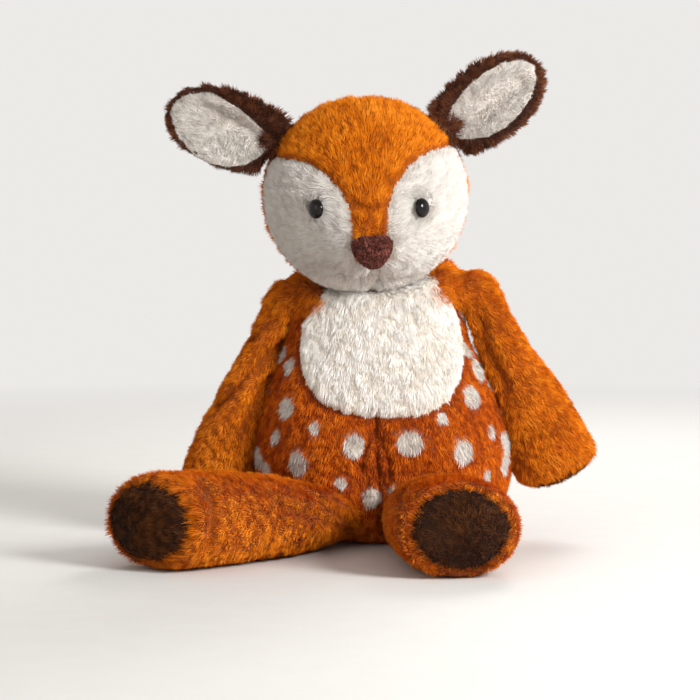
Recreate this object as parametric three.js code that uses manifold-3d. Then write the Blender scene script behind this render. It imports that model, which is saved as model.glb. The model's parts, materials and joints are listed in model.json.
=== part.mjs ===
// A seated plush deer: sewn plush skins over soft filling, with a weighted bag in the seat.
// Millimetres, +Z up. The origin is the middle of the flat patch that the body sits on.
// The deer faces -Y, so its own left side is +X. The parts rest as they lie in the photograph.
import * as THREE from "three";
import { mergeVertices } from "three/addons/utils/BufferGeometryUtils.js";
import Module from "manifold-3d";

const wasm = await Module();
wasm.setup();

// Cloth and fit.
const skinThickness = 2.4; // plush backing with its flattened pile
const seamGap = 0.3; // between pieces that are sewn together or touch
const motionGap = 0.8; // kept along the way of a moving piece
const floorBite = 0.6; // how far the weight flattens what lies on the floor
const cutterOverrun = 60; // how far a cutting shape runs past what it cuts
const cutTolerance = 0.14; // within which small facets left by a cut are merged
const sweepTolerance = 0.3; // the same, for the space that a moving piece needs
const stepDegrees = 10; // between the stations of a sweep
const coarseShare = 0.5; // of a form's facets, for the inside of a skin and its filling

// Body: a pear-shaped bag, fullest low down, that leans back a little.
const bodyHeight = 153;
const bodyHalfWidth = 64;
const bodyHalfDepth = 46;
const bodyLeanX = -6;
const bodyLeanY = 2;
const bodySides = 24;
const bodyRows = 13;
const bodyProfileShares = [
  [0, 0, 0],
  [0, 0.32, 0.32],
  [0.012, 0.6, 0.6],
  [0.067, 0.84, 0.84],
  [0.163, 0.97, 0.97],
  [0.288, 1, 1],
  [0.403, 0.95, 0.96],
  [0.52, 0.85, 0.86],
  [0.645, 0.72, 0.74],
  [0.76, 0.67, 0.65],
  [0.85, 0.66, 0.58],
  [0.92, 0.58, 0.5],
  [0.965, 0.44, 0.38],
  [0.99, 0.24, 0.2],
  [1, 0, 0],
];

// Chest bib: a thicker long-pile panel let into the front of the body.
const bibWidth = 79;
const bibBottomShare = 0.425; // of the body's height
const bibTopShare = 0.895;
const bibProud = 2.4;
const bibOffsetX = -2;
const bibOutlineShares = [
  [0, 0],
  [0.27, 0.04],
  [0.43, 0.17],
  [0.5, 0.42],
  [0.46, 0.66],
  [0.38, 0.86],
  [0.32, 1],
];

// Weighted bag in the seat of the body.
const pelletWidthShare = 0.8; // of the body's width and depth
const pelletTop = 25;

// Head: nearly round, with a short muzzle, turned and tipped a little to one side.
const headHalfWidth = 51;
const headHalfHeight = 48.8;
const headHalfDepth = 46;
const headForward = 15;
const headShiftX = -4.5; // beside the top of the body
const headHeightShare = 1.118; // the head's middle, of the body's height
const headRollDegrees = -4;
const headYawDegrees = 1.5;
const headNodDegrees = 3;
const headSides = 28;
const headRows = 14;
const muzzleLength = 11;
const muzzleHalfWidth = 23;
const muzzleHalfHeight = 20;
const muzzleDropShare = 0.39; // of the head's half height
const muzzleBlendShare = 0.8; // how squarely a place must face forward to take the muzzle in full
const sideSeamBack = -2; // the seam between face and back of the head, from the middle
const cheekOutlineShares = [
  [0.17, -0.6],
  [0.175, -0.36],
  [0.19, -0.08],
  [0.27, 0.13],
  [0.47, 0.35],
  [0.78, 0.46],
  [1.3, 0.47],
];

// Neck: a sewn ring between body and head. The head turns on it and tips back from it.
const neckBehind = 12; // behind the head's middle
const neckDropShare = 0.985; // of the head's half height
const neckRadius = 15;
const neckRingWall = 2;
const neckRingHeight = 8;
const neckSides = 16;
const headTurnDegrees = 20;
const headTipBackDegrees = 10;

// Eyes: plastic domes on shanks, each held by a washer behind the cloth.
const eyeRadius = 5;
const eyeDomeHeight = 3.8;
const eyeShankRadius = 1.6;
const eyeShankLength = 8;
const eyeSideAngle = 28.5;
const eyeTurnOutDegrees = 16; // the cheek's pile lets an eye face further out than its place
const eyeDropLeftDegrees = 6; // degrees below the head's middle
const eyeDropRightDegrees = 2.5;
const eyeSides = 14;
const eyeDomeShares = [
  [1, 0],
  [0.93, 0.42],
  [0.72, 0.76],
  [0.4, 0.95],
  [0, 1],
];
const washerRadius = 5.2;
const washerThickness = 1.2;
const washerFit = 0.3;

// Nose: a small terry pad, wide at the top and narrow below.
const noseHalfWidth = 10;
const noseHalfHeight = 9.3;
const noseHalfDepth = 6.5;
const noseDropShare = 0.47; // of the head's half height
const noseTaperShare = 0.3;
const noseSides = 16;
const noseRows = 10;

// Ears: a brown back and a pale lining, sewn as one cupped leaf with a blunt tip.
const earLength = 63;
const earHalfWidth = 20.5;
const earBackThickness = 3.2;
const earLiningThickness = 2.6;
const earLiningGap = 0.6; // between the two, whose facets bend apart from each other
const earCup = 9;
const earLiningShift = 3.2; // towards the lower edge, so that more of the back shows above
const earLiningWidthShare = 0.8;
const earLiningLengthShare = 0.94;
const earRiseLeftDegrees = 31;
const earRiseRightDegrees = 22.5;
const earRootShare = 0.88; // of the way from the head's middle to its surface
const earSideAngle = 53; // from straight up to the ear root
const earRows = 8;
const earSides = 14;
const earFoldDegrees = 25;
const earWidthShares = [
  [0, 0.66],
  [0.16, 0.82],
  [0.34, 0.96],
  [0.52, 1],
  [0.7, 0.93],
  [0.84, 0.76],
  [0.93, 0.54],
  [0.98, 0.3],
  [1, 0],
];

// Arms: bags that widen to a flat paw, sewn in at the shoulders.
const armLength = 105;
const armHalfWidth = 22;
const armHalfDepth = 15.5;
const shoulderHeightShare = 0.83; // of the body's height
const shoulderDropRight = 4; // the right arm hangs from lower down
const shoulderSpreadLeftShare = 0.76; // of the body's half width
const shoulderSpreadRightShare = 0.69;
const shoulderForward = 7;
const armSwingLeftDegrees = 25;
const armSwingRightDegrees = 21;
const armTwistLeftDegrees = 0;
const armTwistRightDegrees = 55;
const armBackDegrees = 6;
const armLiftDegrees = 70;
const limbSides = 16;
const limbRows = 9;
const armProfileShares = [
  [-0.07, 0],
  [-0.05, 0.34],
  [0.03, 0.5],
  [0.2, 0.55],
  [0.4, 0.67],
  [0.6, 0.87],
  [0.8, 0.97],
  [0.95, 1],
  [1, 0.86],
  [1.02, 0.5],
  [1.03, 0],
];
const pawPadShare = 0.8;

// Legs: bags that widen to a round foot, sewn in at the front of the seat.
const legLength = 124;
const footHalfWidth = 30;
const footHalfHeight = 23.5;
const hipSpreadShare = 0.26; // of the body's half width
const hipForwardShare = 0.4; // of the body's half depth, midway between the two hips
const hipSkew = 9; // the right hip lies this far before the middle, and the left behind it
const hipHeight = 15;
const hipHingeRise = 14; // the seam that a leg lifts about, above the hip
const legSplayLeftDegrees = 7;
const legSplayRightDegrees = 49;
const footTurnLeftDegrees = 0;
const footTurnRightDegrees = 13; // the sole faces further forward than the leg points
const legLiftDegrees = 30;
const legProfileShares = [
  [-0.06, 0],
  [-0.04, 0.3],
  [0.06, 0.46],
  [0.22, 0.68],
  [0.42, 0.88],
  [0.64, 0.97],
  [0.86, 1],
  [0.97, 0.97],
  [1, 0.84],
  [1.02, 0.5],
  [1.03, 0],
];
const solePadWidthShare = 0.8;
const solePadHeightShare = 0.84;
const padStartShare = 0.91; // along a limb: the cut for its pad begins here

// Tail: a short stuffed leaf, dark above and pale below.
const tailLength = 40;
const tailHalfWidth = 12;
const tailHalfThickness = 6;
const tailHeightShare = 0.2; // of the body's height
const tailRootShare = 0.9; // of the body's half depth
const tailPitchDegrees = 40; // up from straight back
const tailLiftDegrees = 30;
const tailRows = 8;
const tailProfileShares = [
  [0, 0],
  [0.02, 0.5],
  [0.2, 0.76],
  [0.45, 1],
  [0.7, 0.92],
  [0.9, 0.56],
  [0.98, 0.24],
  [1, 0],
];

const materials = {
  spottedPlush: plush(0xa8501c),
  orangePlush: plush(0xc2670f),
  whitePlush: plush(0xf0ebe4),
  bibPlush: plush(0xf1e9dc),
  brownPlush: plush(0x5b2f1b),
  padPlush: plush(0x2f1a10),
  terry: plush(0x4a2620),
  filling: plush(0xf5f5f2),
  pelletCloth: plush(0xdedbd2),
  seamTape: plush(0xb9925f),
  eyePlastic: new THREE.MeshStandardMaterial({ color: 0x0a0a0c, roughness: 0.08, metalness: 0 }),
  washerPlastic: new THREE.MeshStandardMaterial({ color: 0xe9e9e6, roughness: 0.5, metalness: 0 }),
};

function plush(color) {
  return new THREE.MeshStandardMaterial({ color, roughness: 0.95, metalness: 0 });
}

const X = new THREE.Vector3(1, 0, 0);
const Y = new THREE.Vector3(0, 1, 0);
const Z = new THREE.Vector3(0, 0, 1);
const radians = THREE.MathUtils.degToRad;
const fine = (count) => count;
const coarse = (count) => Math.round(count * coarseShare);
const poleShare = 0.02; // the smallest ring of a form, of its widest
const turnPower = 3; // how late along a limb the turn of its far end sets in
const slopeStepDegrees = 1; // degrees, over which the slope of the head is taken

// A closed skin over rings of points, which run anticlockwise seen from the end.
function loft(startPole, rings, endPole) {
  const points = [startPole, ...rings.flat(), endPole];
  const count = rings[0].length;
  const last = points.length - 1;
  const faces = [];
  for (let side = 0; side < count; side++) {
    const next = (side + 1) % count;
    faces.push(0, 1 + next, 1 + side);
    for (let row = 0; row < rings.length - 1; row++) {
      const low = 1 + row * count;
      const high = low + count;
      faces.push(low + side, low + next, high + next, low + side, high + next, high + side);
    }
    const top = last - count;
    faces.push(last, top + side, top + next);
  }
  const positions = points.flatMap((p) => [p.x, p.y, p.z]);
  return new THREE.BufferGeometry()
    .setAttribute("position", new THREE.Float32BufferAttribute(positions, 3))
    .setIndex(faces);
}

// A bag along +Z: an oval section whose size follows a profile of shares: [height, width], or
// [height, width, depth] where those two differ. grow moves the surface outwards, or inwards
// where it is negative. turn swings the far end's face about the section's depth.
function bag({ profileShares, height, halfWidth, halfDepth, sides, rows, grow, spine, turn = 0 }) {
  const curve = new THREE.CatmullRomCurve3(
    profileShares.map(
      ([along, wide, deep = wide]) => new THREE.Vector3(along * height, wide * halfWidth, deep * halfDepth),
    ),
    false,
    "centripetal",
  );
  const stations = Array.from({ length: rows + 2 }, (_, row) => {
    const share = row / (rows + 1);
    const place = curve.getPoint(share);
    const way = curve.getTangent(share);
    const flare = Math.hypot(way.y, way.z) / Math.SQRT2;
    const slope = new THREE.Vector2(way.x, flare * Math.sign(way.y + way.z)).normalize();
    return {
      along: place.x - grow * slope.y,
      halfX: Math.max(place.y + grow * slope.x, halfWidth * poleShare),
      halfY: Math.max(place.z + grow * slope.x, halfDepth * poleShare),
    };
  });
  const first = { ...stations[0], along: profileShares[0][0] * height - grow };
  const final = { ...stations[rows + 1], along: profileShares.at(-1)[0] * height + grow };
  const centre = ({ along }) => (spine ? spine(along / height) : new THREE.Vector3()).setZ(along);
  const rings = stations.slice(1, -1).map((station) =>
    Array.from({ length: sides }, (_, side) => {
      const angle = (side / sides) * 2 * Math.PI;
      const x = station.halfX * Math.cos(angle);
      const y = station.halfY * Math.sin(angle);
      const lean = -x * Math.tan(radians(turn)) * (station.along / height) ** turnPower;
      return new THREE.Vector3(x, y, lean).add(centre(station));
    }),
  );
  return loft(centre(first), rings, centre(final));
}

function solidOf(geometry) {
  const bare = geometry.clone();
  bare.deleteAttribute("normal");
  bare.deleteAttribute("uv");
  const merged = mergeVertices(bare, 1e-4);
  return new wasm.Manifold(
    new wasm.Mesh({
      numProp: 3,
      vertProperties: new Float32Array(merged.attributes.position.array),
      triVerts: new Uint32Array(merged.index.array),
    }),
  );
}

const join = (solids) => solids.reduce((all, one) => all.add(one));

// A turn about an axis through a point.
function turnAbout(pivot, axis, degrees) {
  return new THREE.Matrix4()
    .makeTranslation(pivot)
    .multiply(new THREE.Matrix4().makeRotationAxis(axis, radians(degrees)))
    .multiply(new THREE.Matrix4().makeTranslation(pivot.clone().negate()));
}

// The space that a solid sweeps as it turns about a joint, from one angle to the other.
function swept(solid, joint, from, to) {
  const count = Math.max(1, Math.ceil(Math.abs(to - from) / stepDegrees));
  const angles = Array.from({ length: count + 1 }, (_, i) => from + ((to - from) * i) / count);
  return join(
    angles.map((angle) => solid.transform(turnAbout(joint.pivot, joint.axis, angle).elements)),
  ).simplify(sweepTolerance);
}

// What a fixed solid takes from a moving piece, seen in that piece's own resting place.
const blockedBy = (fixed, joint) => swept(fixed, joint, -joint.to, -joint.from);

// The main body of a cut, without the crumbs that a cut along a surface leaves.
function mainBody(solid) {
  const bodies = solid.decompose();
  const largest = bodies.reduce((best, one) => (one.volume() > best.volume() ? one : best));
  return largest.simplify(cutTolerance);
}

// A box from its lowest and highest corners.
function boxBetween(low, high) {
  const size = high.clone().sub(low);
  const middle = low.clone().add(high).multiplyScalar(0.5);
  return new THREE.BoxGeometry(size.x, size.y, size.z).translate(middle.x, middle.y, middle.z);
}

// An outline in X and Z, cut through from front to back.
function frontCutter(points, frontY, backY) {
  return new THREE.ExtrudeGeometry(new THREE.Shape(points), { depth: backY - frontY, bevelEnabled: false })
    .rotateX(Math.PI / 2)
    .translate(0, backY, 0);
}

const reach = bodyHeight + legLength + cutterOverrun;
const belowFloor = solidOf(
  boxBetween(new THREE.Vector3(-reach, -reach, -reach), new THREE.Vector3(reach, reach, 0)),
);

// Body.
const bodySpine = (share) => new THREE.Vector3(bodyLeanX * share, bodyLeanY * share, 0);
function bodyForm(grow, resolution = fine) {
  return bag({
    profileShares: bodyProfileShares,
    height: bodyHeight,
    halfWidth: bodyHalfWidth,
    halfDepth: bodyHalfDepth,
    sides: resolution(bodySides),
    rows: bodyRows,
    spine: bodySpine,
    grow,
  }).translate(0, 0, -floorBite);
}

// The body's half width and half depth at a height.
function bodyHalfSizes(height) {
  const share = (height + floorBite) / bodyHeight;
  const above = bodyProfileShares.findIndex(([along]) => along > share);
  const [low, high] = [bodyProfileShares[above - 1], bodyProfileShares[above]];
  const way = (share - low[0]) / (high[0] - low[0]);
  const between = (column) => THREE.MathUtils.lerp(low[column], high[column], way);
  return new THREE.Vector2(bodyHalfWidth * between(1), bodyHalfDepth * between(2));
}

// Where a level line from a point in the body leaves it.
function bodyEdge(from, direction) {
  const halfSizes = bodyHalfSizes(from.z);
  const middle = bodySpine(from.z / bodyHeight);
  const place = new THREE.Vector2(from.x - middle.x, from.y - middle.y).divide(halfSizes);
  const way = new THREE.Vector2(direction.x, direction.y).divide(halfSizes);
  const half = place.dot(way);
  const root = Math.sqrt(half ** 2 - way.lengthSq() * (place.lengthSq() - 1));
  return from.clone().addScaledVector(direction, (root - half) / way.lengthSq());
}

// Head, in its own frame: its middle is at the origin and it faces -Y.
function headSurface(direction, grow) {
  const place = new THREE.Vector3(
    direction.x * (headHalfWidth + grow),
    direction.y * (headHalfDepth + grow),
    direction.z * (headHalfHeight + grow),
  );
  const across = place.x / muzzleHalfWidth;
  const up = (place.z + headHalfHeight * muzzleDropShare) / muzzleHalfHeight;
  const front = THREE.MathUtils.smoothstep(-direction.y, 0, muzzleBlendShare);
  place.y -= muzzleLength * front * Math.exp(-(across * across) - up * up);
  return place;
}

function headForm(grow, resolution = fine) {
  const sides = resolution(headSides);
  const rows = resolution(headRows);
  const at = (row, side) => {
    const polar = ((row + 1) / (rows + 1)) * Math.PI;
    const turn = (side / sides) * 2 * Math.PI;
    const out = Math.sin(polar);
    return headSurface(new THREE.Vector3(out * Math.cos(turn), out * Math.sin(turn), -Math.cos(polar)), grow);
  };
  const rings = Array.from({ length: rows }, (_, row) =>
    Array.from({ length: sides }, (_, side) => at(row, side)),
  );
  return loft(headSurface(Z.clone().negate(), grow), rings, headSurface(Z, grow));
}

const headCentre = new THREE.Vector3(bodyLeanX + headShiftX, -headForward, bodyHeight * headHeightShare);
const headTilt = [headNodDegrees, headRollDegrees, headYawDegrees].map(radians);
const headPlace = new THREE.Matrix4()
  .makeRotationFromEuler(new THREE.Euler(...headTilt, "ZYX"))
  .setPosition(headCentre);
const placed = (geometry) => solidOf(geometry.applyMatrix4(headPlace));

// Neck.
const neckCentre = headCentre.clone().add(new THREE.Vector3(0, neckBehind, -headHalfHeight * neckDropShare));
const turnJoint = { pivot: neckCentre, axis: Z, from: -headTurnDegrees, to: headTurnDegrees };
const tipJoint = { pivot: neckCentre, axis: X.clone().negate(), from: 0, to: headTipBackDegrees };

function aroundNeck(profile) {
  return solidOf(
    new THREE.LatheGeometry(profile, neckSides)
      .rotateX(Math.PI / 2)
      .translate(neckCentre.x, neckCentre.y, neckCentre.z),
  );
}
function ringForm(grow) {
  const inner = neckRadius - neckRingWall - grow;
  const outer = neckRadius + grow;
  const half = neckRingHeight / 2 + grow;
  const corners = [
    [inner, -half],
    [outer, -half],
    [outer, half],
    [inner, half],
    [inner, -half],
  ];
  return aroundNeck(corners.map(([out, up]) => new THREE.Vector2(out, up)));
}
// An upright plug through the neck, for the openings of both skins.
function neckPlug(radius) {
  const half = neckRingHeight / 2 + skinThickness + neckRadius;
  const corners = [
    [0, -half],
    [radius, -half],
    [radius, half],
    [0, half],
  ];
  return aroundNeck(corners.map(([out, up]) => new THREE.Vector2(out, up)));
}

function headSweep(grow) {
  const tipped = swept(placed(headForm(grow)), tipJoint, tipJoint.from, tipJoint.to);
  return swept(tipped, turnJoint, turnJoint.from, turnJoint.to);
}
const headEnvelope = headSweep(motionGap);
const neckOpening = neckPlug(neckRadius + seamGap);
const ringGroove = ringForm(motionGap);

// Body pieces.
function bibOutline(grow) {
  const bottom = bodyHeight * bibBottomShare;
  const height = bodyHeight * bibTopShare - bottom;
  const curve = new THREE.SplineCurve(
    bibOutlineShares.map(
      ([across, up]) => new THREE.Vector2(across * (bibWidth + 2 * grow), bottom + up * height - grow),
    ),
  );
  const right = curve.getPoints(bibOutlineShares.length * 2);
  const left = right.slice(1).map((p) => new THREE.Vector2(-p.x, p.y));
  return [...right, ...left.reverse()].map((p) => p.add(new THREE.Vector2(bibOffsetX, 0)));
}
const bibCutter = (grow) => solidOf(frontCutter(bibOutline(grow), -reach, 0));

const bodyInside = (depth) =>
  solidOf(bodyForm(-depth, coarse))
    .subtract(headSweep(motionGap + depth))
    .subtract(belowFloor.translate(0, 0, depth));
const bodyCavity = bodyInside(skinThickness);
const bodySkin = solidOf(bodyForm(0))
  .subtract(headEnvelope)
  .subtract(bodyCavity)
  .subtract(bibCutter(seamGap))
  .subtract(neckOpening)
  .subtract(belowFloor);
const chestBib = solidOf(bodyForm(bibProud))
  .subtract(headEnvelope)
  .subtract(bodyCavity)
  .intersect(bibCutter(0))
  .subtract(neckOpening);

const pelletDome = (grow) =>
  solidOf(
    new THREE.SphereGeometry(1, coarse(bodySides), coarse(bodyRows)).scale(
      bodyHalfWidth * pelletWidthShare + grow,
      bodyHalfDepth * pelletWidthShare + grow,
      pelletTop + grow,
    ),
  );
const bodyFilling = bodyInside(skinThickness + seamGap).subtract(ringGroove);
const pelletBag = bodyFilling.intersect(pelletDome(0));
const bodyStuffing = bodyFilling.subtract(pelletDome(seamGap));

// Head skins: two cheeks, a crown that runs down the bridge, and two back panels.
function cheekOutline(side, grow) {
  const curve = new THREE.SplineCurve(
    cheekOutlineShares.map(
      ([across, up]) => new THREE.Vector2(across * headHalfWidth - grow, up * headHalfHeight + grow),
    ),
  ).getPoints(cheekOutlineShares.length * 2);
  const middle = seamGap / 2 - grow;
  const outline = [
    new THREE.Vector2(middle, -reach),
    new THREE.Vector2(reach, -reach),
    new THREE.Vector2(reach, curve.at(-1).y),
    ...curve.reverse(),
    new THREE.Vector2(middle, cheekOutlineShares[0][1] * headHalfHeight + grow),
  ];
  return side > 0 ? outline : outline.map((p) => new THREE.Vector2(-p.x, p.y)).reverse();
}
const cheekCutter = (side, grow) =>
  placed(frontCutter(cheekOutline(side, grow), -reach, sideSeamBack + grow));
const beforeSeam = placed(
  boxBetween(new THREE.Vector3(-reach, -reach, -reach), new THREE.Vector3(reach, sideSeamBack, reach)),
);
const behindSeam = (side) =>
  placed(
    boxBetween(
      new THREE.Vector3(side > 0 ? seamGap / 2 : -reach, sideSeamBack + seamGap, -reach),
      new THREE.Vector3(side > 0 ? reach : -seamGap / 2, reach, reach),
    ),
  );
const sweptByTip = (solid) => blockedBy(solid, tipJoint);
const headOpening = sweptByTip(neckPlug(neckRadius + motionGap));
const headShell = placed(headForm(0)).subtract(placed(headForm(-skinThickness, coarse)));

// Eyes sit on the surface and point straight out of it.
const sideNames = { 1: "left", [-1]: "right" };
const eyeDrops = { 1: eyeDropLeftDegrees, [-1]: eyeDropRightDegrees };
function eyeFrame(side) {
  const at = (sideAngle, dropAngle) => {
    const a = radians(sideAngle) * side;
    const d = radians(dropAngle);
    return headSurface(
      new THREE.Vector3(Math.sin(a) * Math.cos(d), -Math.cos(a) * Math.cos(d), -Math.sin(d)),
      0,
    );
  };
  const here = at(eyeSideAngle, eyeDrops[side]);
  const across = at(eyeSideAngle + slopeStepDegrees, eyeDrops[side]).sub(here);
  const down = at(eyeSideAngle, eyeDrops[side] + slopeStepDegrees).sub(here);
  const out = across.cross(down).normalize();
  if (out.dot(here) < 0) out.negate();
  out.applyAxisAngle(Z, radians(eyeTurnOutDegrees) * side);
  const turn = new THREE.Quaternion().setFromUnitVectors(Z, out);
  return headPlace.clone().multiply(new THREE.Matrix4().compose(here, turn, new THREE.Vector3(1, 1, 1)));
}

// Turned about +Z, from a profile of [radius, height] points.
function turned(points, frame) {
  const profile = points.map(([out, up]) => new THREE.Vector2(out, up));
  return solidOf(new THREE.LatheGeometry(profile, eyeSides).rotateX(Math.PI / 2).applyMatrix4(frame));
}
function eyeSolid(frame, grow) {
  const dome = eyeDomeShares.map(([out, up]) => [
    out ? out * eyeRadius + grow : 0,
    seamGap + up * eyeDomeHeight + (up ? grow : -grow),
  ]);
  const shank = [
    [0, -eyeShankLength - grow],
    [eyeShankRadius + grow, -eyeShankLength - grow],
    [eyeShankRadius + grow, seamGap - grow],
  ];
  return turned([...shank, ...dome], frame);
}
function washerSolid(frame, grow, bored) {
  const top = -skinThickness - seamGap;
  const inner = bored ? eyeShankRadius + washerFit : 0;
  const profile = [
    [inner, top - washerThickness - grow],
    [washerRadius + grow, top - washerThickness - grow],
    [washerRadius + grow, top + grow],
    [inner, top + grow],
  ];
  if (bored) profile.push(profile[0]);
  return turned(profile, frame);
}

const eyeSockets = join(
  [1, -1].map((side) => eyeSolid(eyeFrame(side), seamGap).add(washerSolid(eyeFrame(side), seamGap, false))),
);
const headPanel = (region) => headShell.intersect(region).subtract(eyeSockets).subtract(headOpening);
const cheeks = { 1: headPanel(cheekCutter(1, 0)), [-1]: headPanel(cheekCutter(-1, 0)) };
const crown = headPanel(
  beforeSeam.subtract(cheekCutter(1, seamGap)).subtract(cheekCutter(-1, seamGap)),
);
const headStuffing = placed(headForm(-skinThickness - seamGap, coarse))
  .subtract(eyeSockets)
  .subtract(sweptByTip(ringGroove));

// Nose pad, seated on the muzzle.
function noseForm() {
  const geometry = new THREE.SphereGeometry(1, noseSides, noseRows).rotateX(Math.PI / 2);
  const position = geometry.attributes.position;
  for (let i = 0; i < position.count; i++)
    position.setX(i, position.getX(i) * (1 + noseTaperShare * position.getZ(i)));
  const polar = Math.asin(noseDropShare);
  const seat = headSurface(new THREE.Vector3(0, -Math.cos(polar), -Math.sin(polar)), 0);
  return geometry.scale(noseHalfWidth, noseHalfDepth, noseHalfHeight).translate(0, seat.y, seat.z);
}
const nose = placed(noseForm()).subtract(placed(headForm(seamGap)));

// Ears, drawn along +Z with the lining on the -Y side, then turned out from the head.
function earLeaf({ length, halfWidth, thickness, offset, shift }) {
  const curve = new THREE.SplineCurve(earWidthShares.map(([along, wide]) => new THREE.Vector2(along, wide)));
  const at = (along, wide, angle) => {
    const across = halfWidth * wide * Math.cos(angle) + shift;
    const curl = earCup * (across / earHalfWidth) ** 2;
    return new THREE.Vector3(across, (thickness / 2) * Math.sin(angle) - offset - curl, length * along);
  };
  const rings = Array.from({ length: earRows }, (_, row) => {
    const station = curve.getPointAt(row / earRows);
    return Array.from({ length: earSides }, (_, side) =>
      at(station.x, station.y, (side / earSides) * 2 * Math.PI),
    );
  });
  return loft(at(-thickness / length, 0, 0), rings, at(1, 0, 0));
}

const earRises = { 1: earRiseLeftDegrees, [-1]: earRiseRightDegrees };
function ear(side) {
  const up = radians(earSideAngle) * side;
  const root = headSurface(new THREE.Vector3(Math.sin(up), 0, Math.cos(up)), 0);
  const frame = headPlace
    .clone()
    .multiply(new THREE.Matrix4().makeTranslation(root.clone().multiplyScalar(earRootShare)))
    .multiply(new THREE.Matrix4().makeRotationY(side * (Math.PI / 2 - radians(earRises[side]))));
  const pivot = root.applyMatrix4(headPlace);
  const axis = X.clone().transformDirection(frame);
  const joint = { pivot, axis, from: -earFoldDegrees, to: earFoldDegrees };
  const blocked = blockedBy(placed(headForm(motionGap)), joint);
  const leaf = (spec) => solidOf(earLeaf(spec).applyMatrix4(frame)).subtract(blocked);
  return {
    joint,
    back: leaf({
      length: earLength,
      halfWidth: earHalfWidth,
      thickness: earBackThickness,
      offset: 0,
      shift: 0,
    }),
    lining: leaf({
      length: earLength * earLiningLengthShare,
      halfWidth: earHalfWidth * earLiningWidthShare,
      thickness: earLiningThickness,
      offset: (earBackThickness + earLiningThickness) / 2 + earLiningGap,
      shift: earLiningShift * side,
    }),
  };
}

// A frame at a root, with +Z along the limb and X level, turned about the limb by a twist.
function limbFrame(root, direction, level, twist) {
  const x = level.clone().applyAxisAngle(direction, radians(twist)).normalize();
  return new THREE.Matrix4().makeBasis(x, direction.clone().cross(x), direction).setPosition(root);
}

// Limbs are bags along +Z from their root, with a flat pad let into the far end.
// What the limb must clear cuts its skin and, deeper by the skin's thickness, its inside.
function limb({ profileShares, length, halfWidth, halfDepth, turn, padShares, frame, joint, obstacle }) {
  const form = (grow, resolution = fine) =>
    solidOf(
      bag({
        profileShares,
        height: length,
        halfWidth,
        halfDepth,
        sides: resolution(limbSides),
        rows: limbRows,
        grow,
        turn,
      }).applyMatrix4(frame),
    )
      .subtract(blockedBy(obstacle(motionGap - grow), joint))
      .subtract(belowFloor.translate(0, 0, -grow));
  const padCutter = (grow) =>
    solidOf(
      new THREE.CylinderGeometry(1, 1, length, limbSides)
        .rotateX(Math.PI / 2)
        .scale(halfWidth * padShares[0] + grow, halfDepth * padShares[1] + grow, 1)
        .translate(0, 0, length * padStartShare + length / 2)
        .applyMatrix4(frame),
    );
  const shell = form(0).subtract(form(-skinThickness, coarse));
  return {
    joint,
    skin: shell.subtract(padCutter(seamGap)),
    pad: shell.intersect(padCutter(0)),
    stuffing: form(-skinThickness - seamGap, coarse),
  };
}

const bodyObstacle = (grow) => solidOf(bodyForm(grow));
const armSwings = { 1: armSwingLeftDegrees, [-1]: armSwingRightDegrees };
const shoulderSpreads = { 1: shoulderSpreadLeftShare, [-1]: shoulderSpreadRightShare };
const shoulderDrops = { 1: 0, [-1]: shoulderDropRight };
const armTwists = { 1: armTwistLeftDegrees, [-1]: armTwistRightDegrees };
function arm(side) {
  const swing = radians(armSwings[side]);
  const root = bodySpine(shoulderHeightShare).add(
    new THREE.Vector3(
      side * bodyHalfWidth * shoulderSpreads[side],
      -bodyLeanY - shoulderForward,
      bodyHeight * shoulderHeightShare - shoulderDrops[side],
    ),
  );
  const back = Math.sin(radians(armBackDegrees));
  const direction = new THREE.Vector3(side * Math.sin(swing), back, -Math.cos(swing));
  direction.normalize();
  const level = Y.clone().cross(direction);
  return limb({
    profileShares: armProfileShares,
    length: armLength,
    halfWidth: armHalfWidth,
    halfDepth: armHalfDepth,
    turn: 0,
    padShares: [pawPadShare, pawPadShare],
    frame: limbFrame(root, direction, level, armTwists[side] * side),
    joint: { pivot: root, axis: new THREE.Vector3(0, -side, 0), from: 0, to: armLiftDegrees },
    obstacle: (grow) => bodyObstacle(grow).add(headSweep(grow)),
  });
}

const footTurns = { 1: footTurnLeftDegrees, [-1]: footTurnRightDegrees };
const legSplays = { 1: legSplayLeftDegrees, [-1]: -legSplayRightDegrees };
function leg(side) {
  const splay = radians(legSplays[side]);
  const forward = bodyHalfDepth * hipForwardShare - side * hipSkew;
  const root = new THREE.Vector3(side * bodyHalfWidth * hipSpreadShare, -forward, hipHeight);
  const rise = (footHalfHeight - floorBite - hipHeight) / legLength;
  const direction = new THREE.Vector3(Math.sin(splay), -Math.cos(splay), rise).normalize();
  const level = Z.clone().cross(direction).normalize();
  const pivot = bodyEdge(root.clone().addScaledVector(Z, hipHingeRise), level.clone().cross(Z));
  return limb({
    profileShares: legProfileShares,
    length: legLength,
    halfWidth: footHalfWidth,
    halfDepth: footHalfHeight,
    turn: footTurns[side],
    padShares: [solePadWidthShare, solePadHeightShare],
    frame: limbFrame(root, direction, level, 0),
    joint: { pivot, axis: level.clone().negate(), from: 0, to: legLiftDegrees },
    obstacle: bodyObstacle,
  });
}

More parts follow.
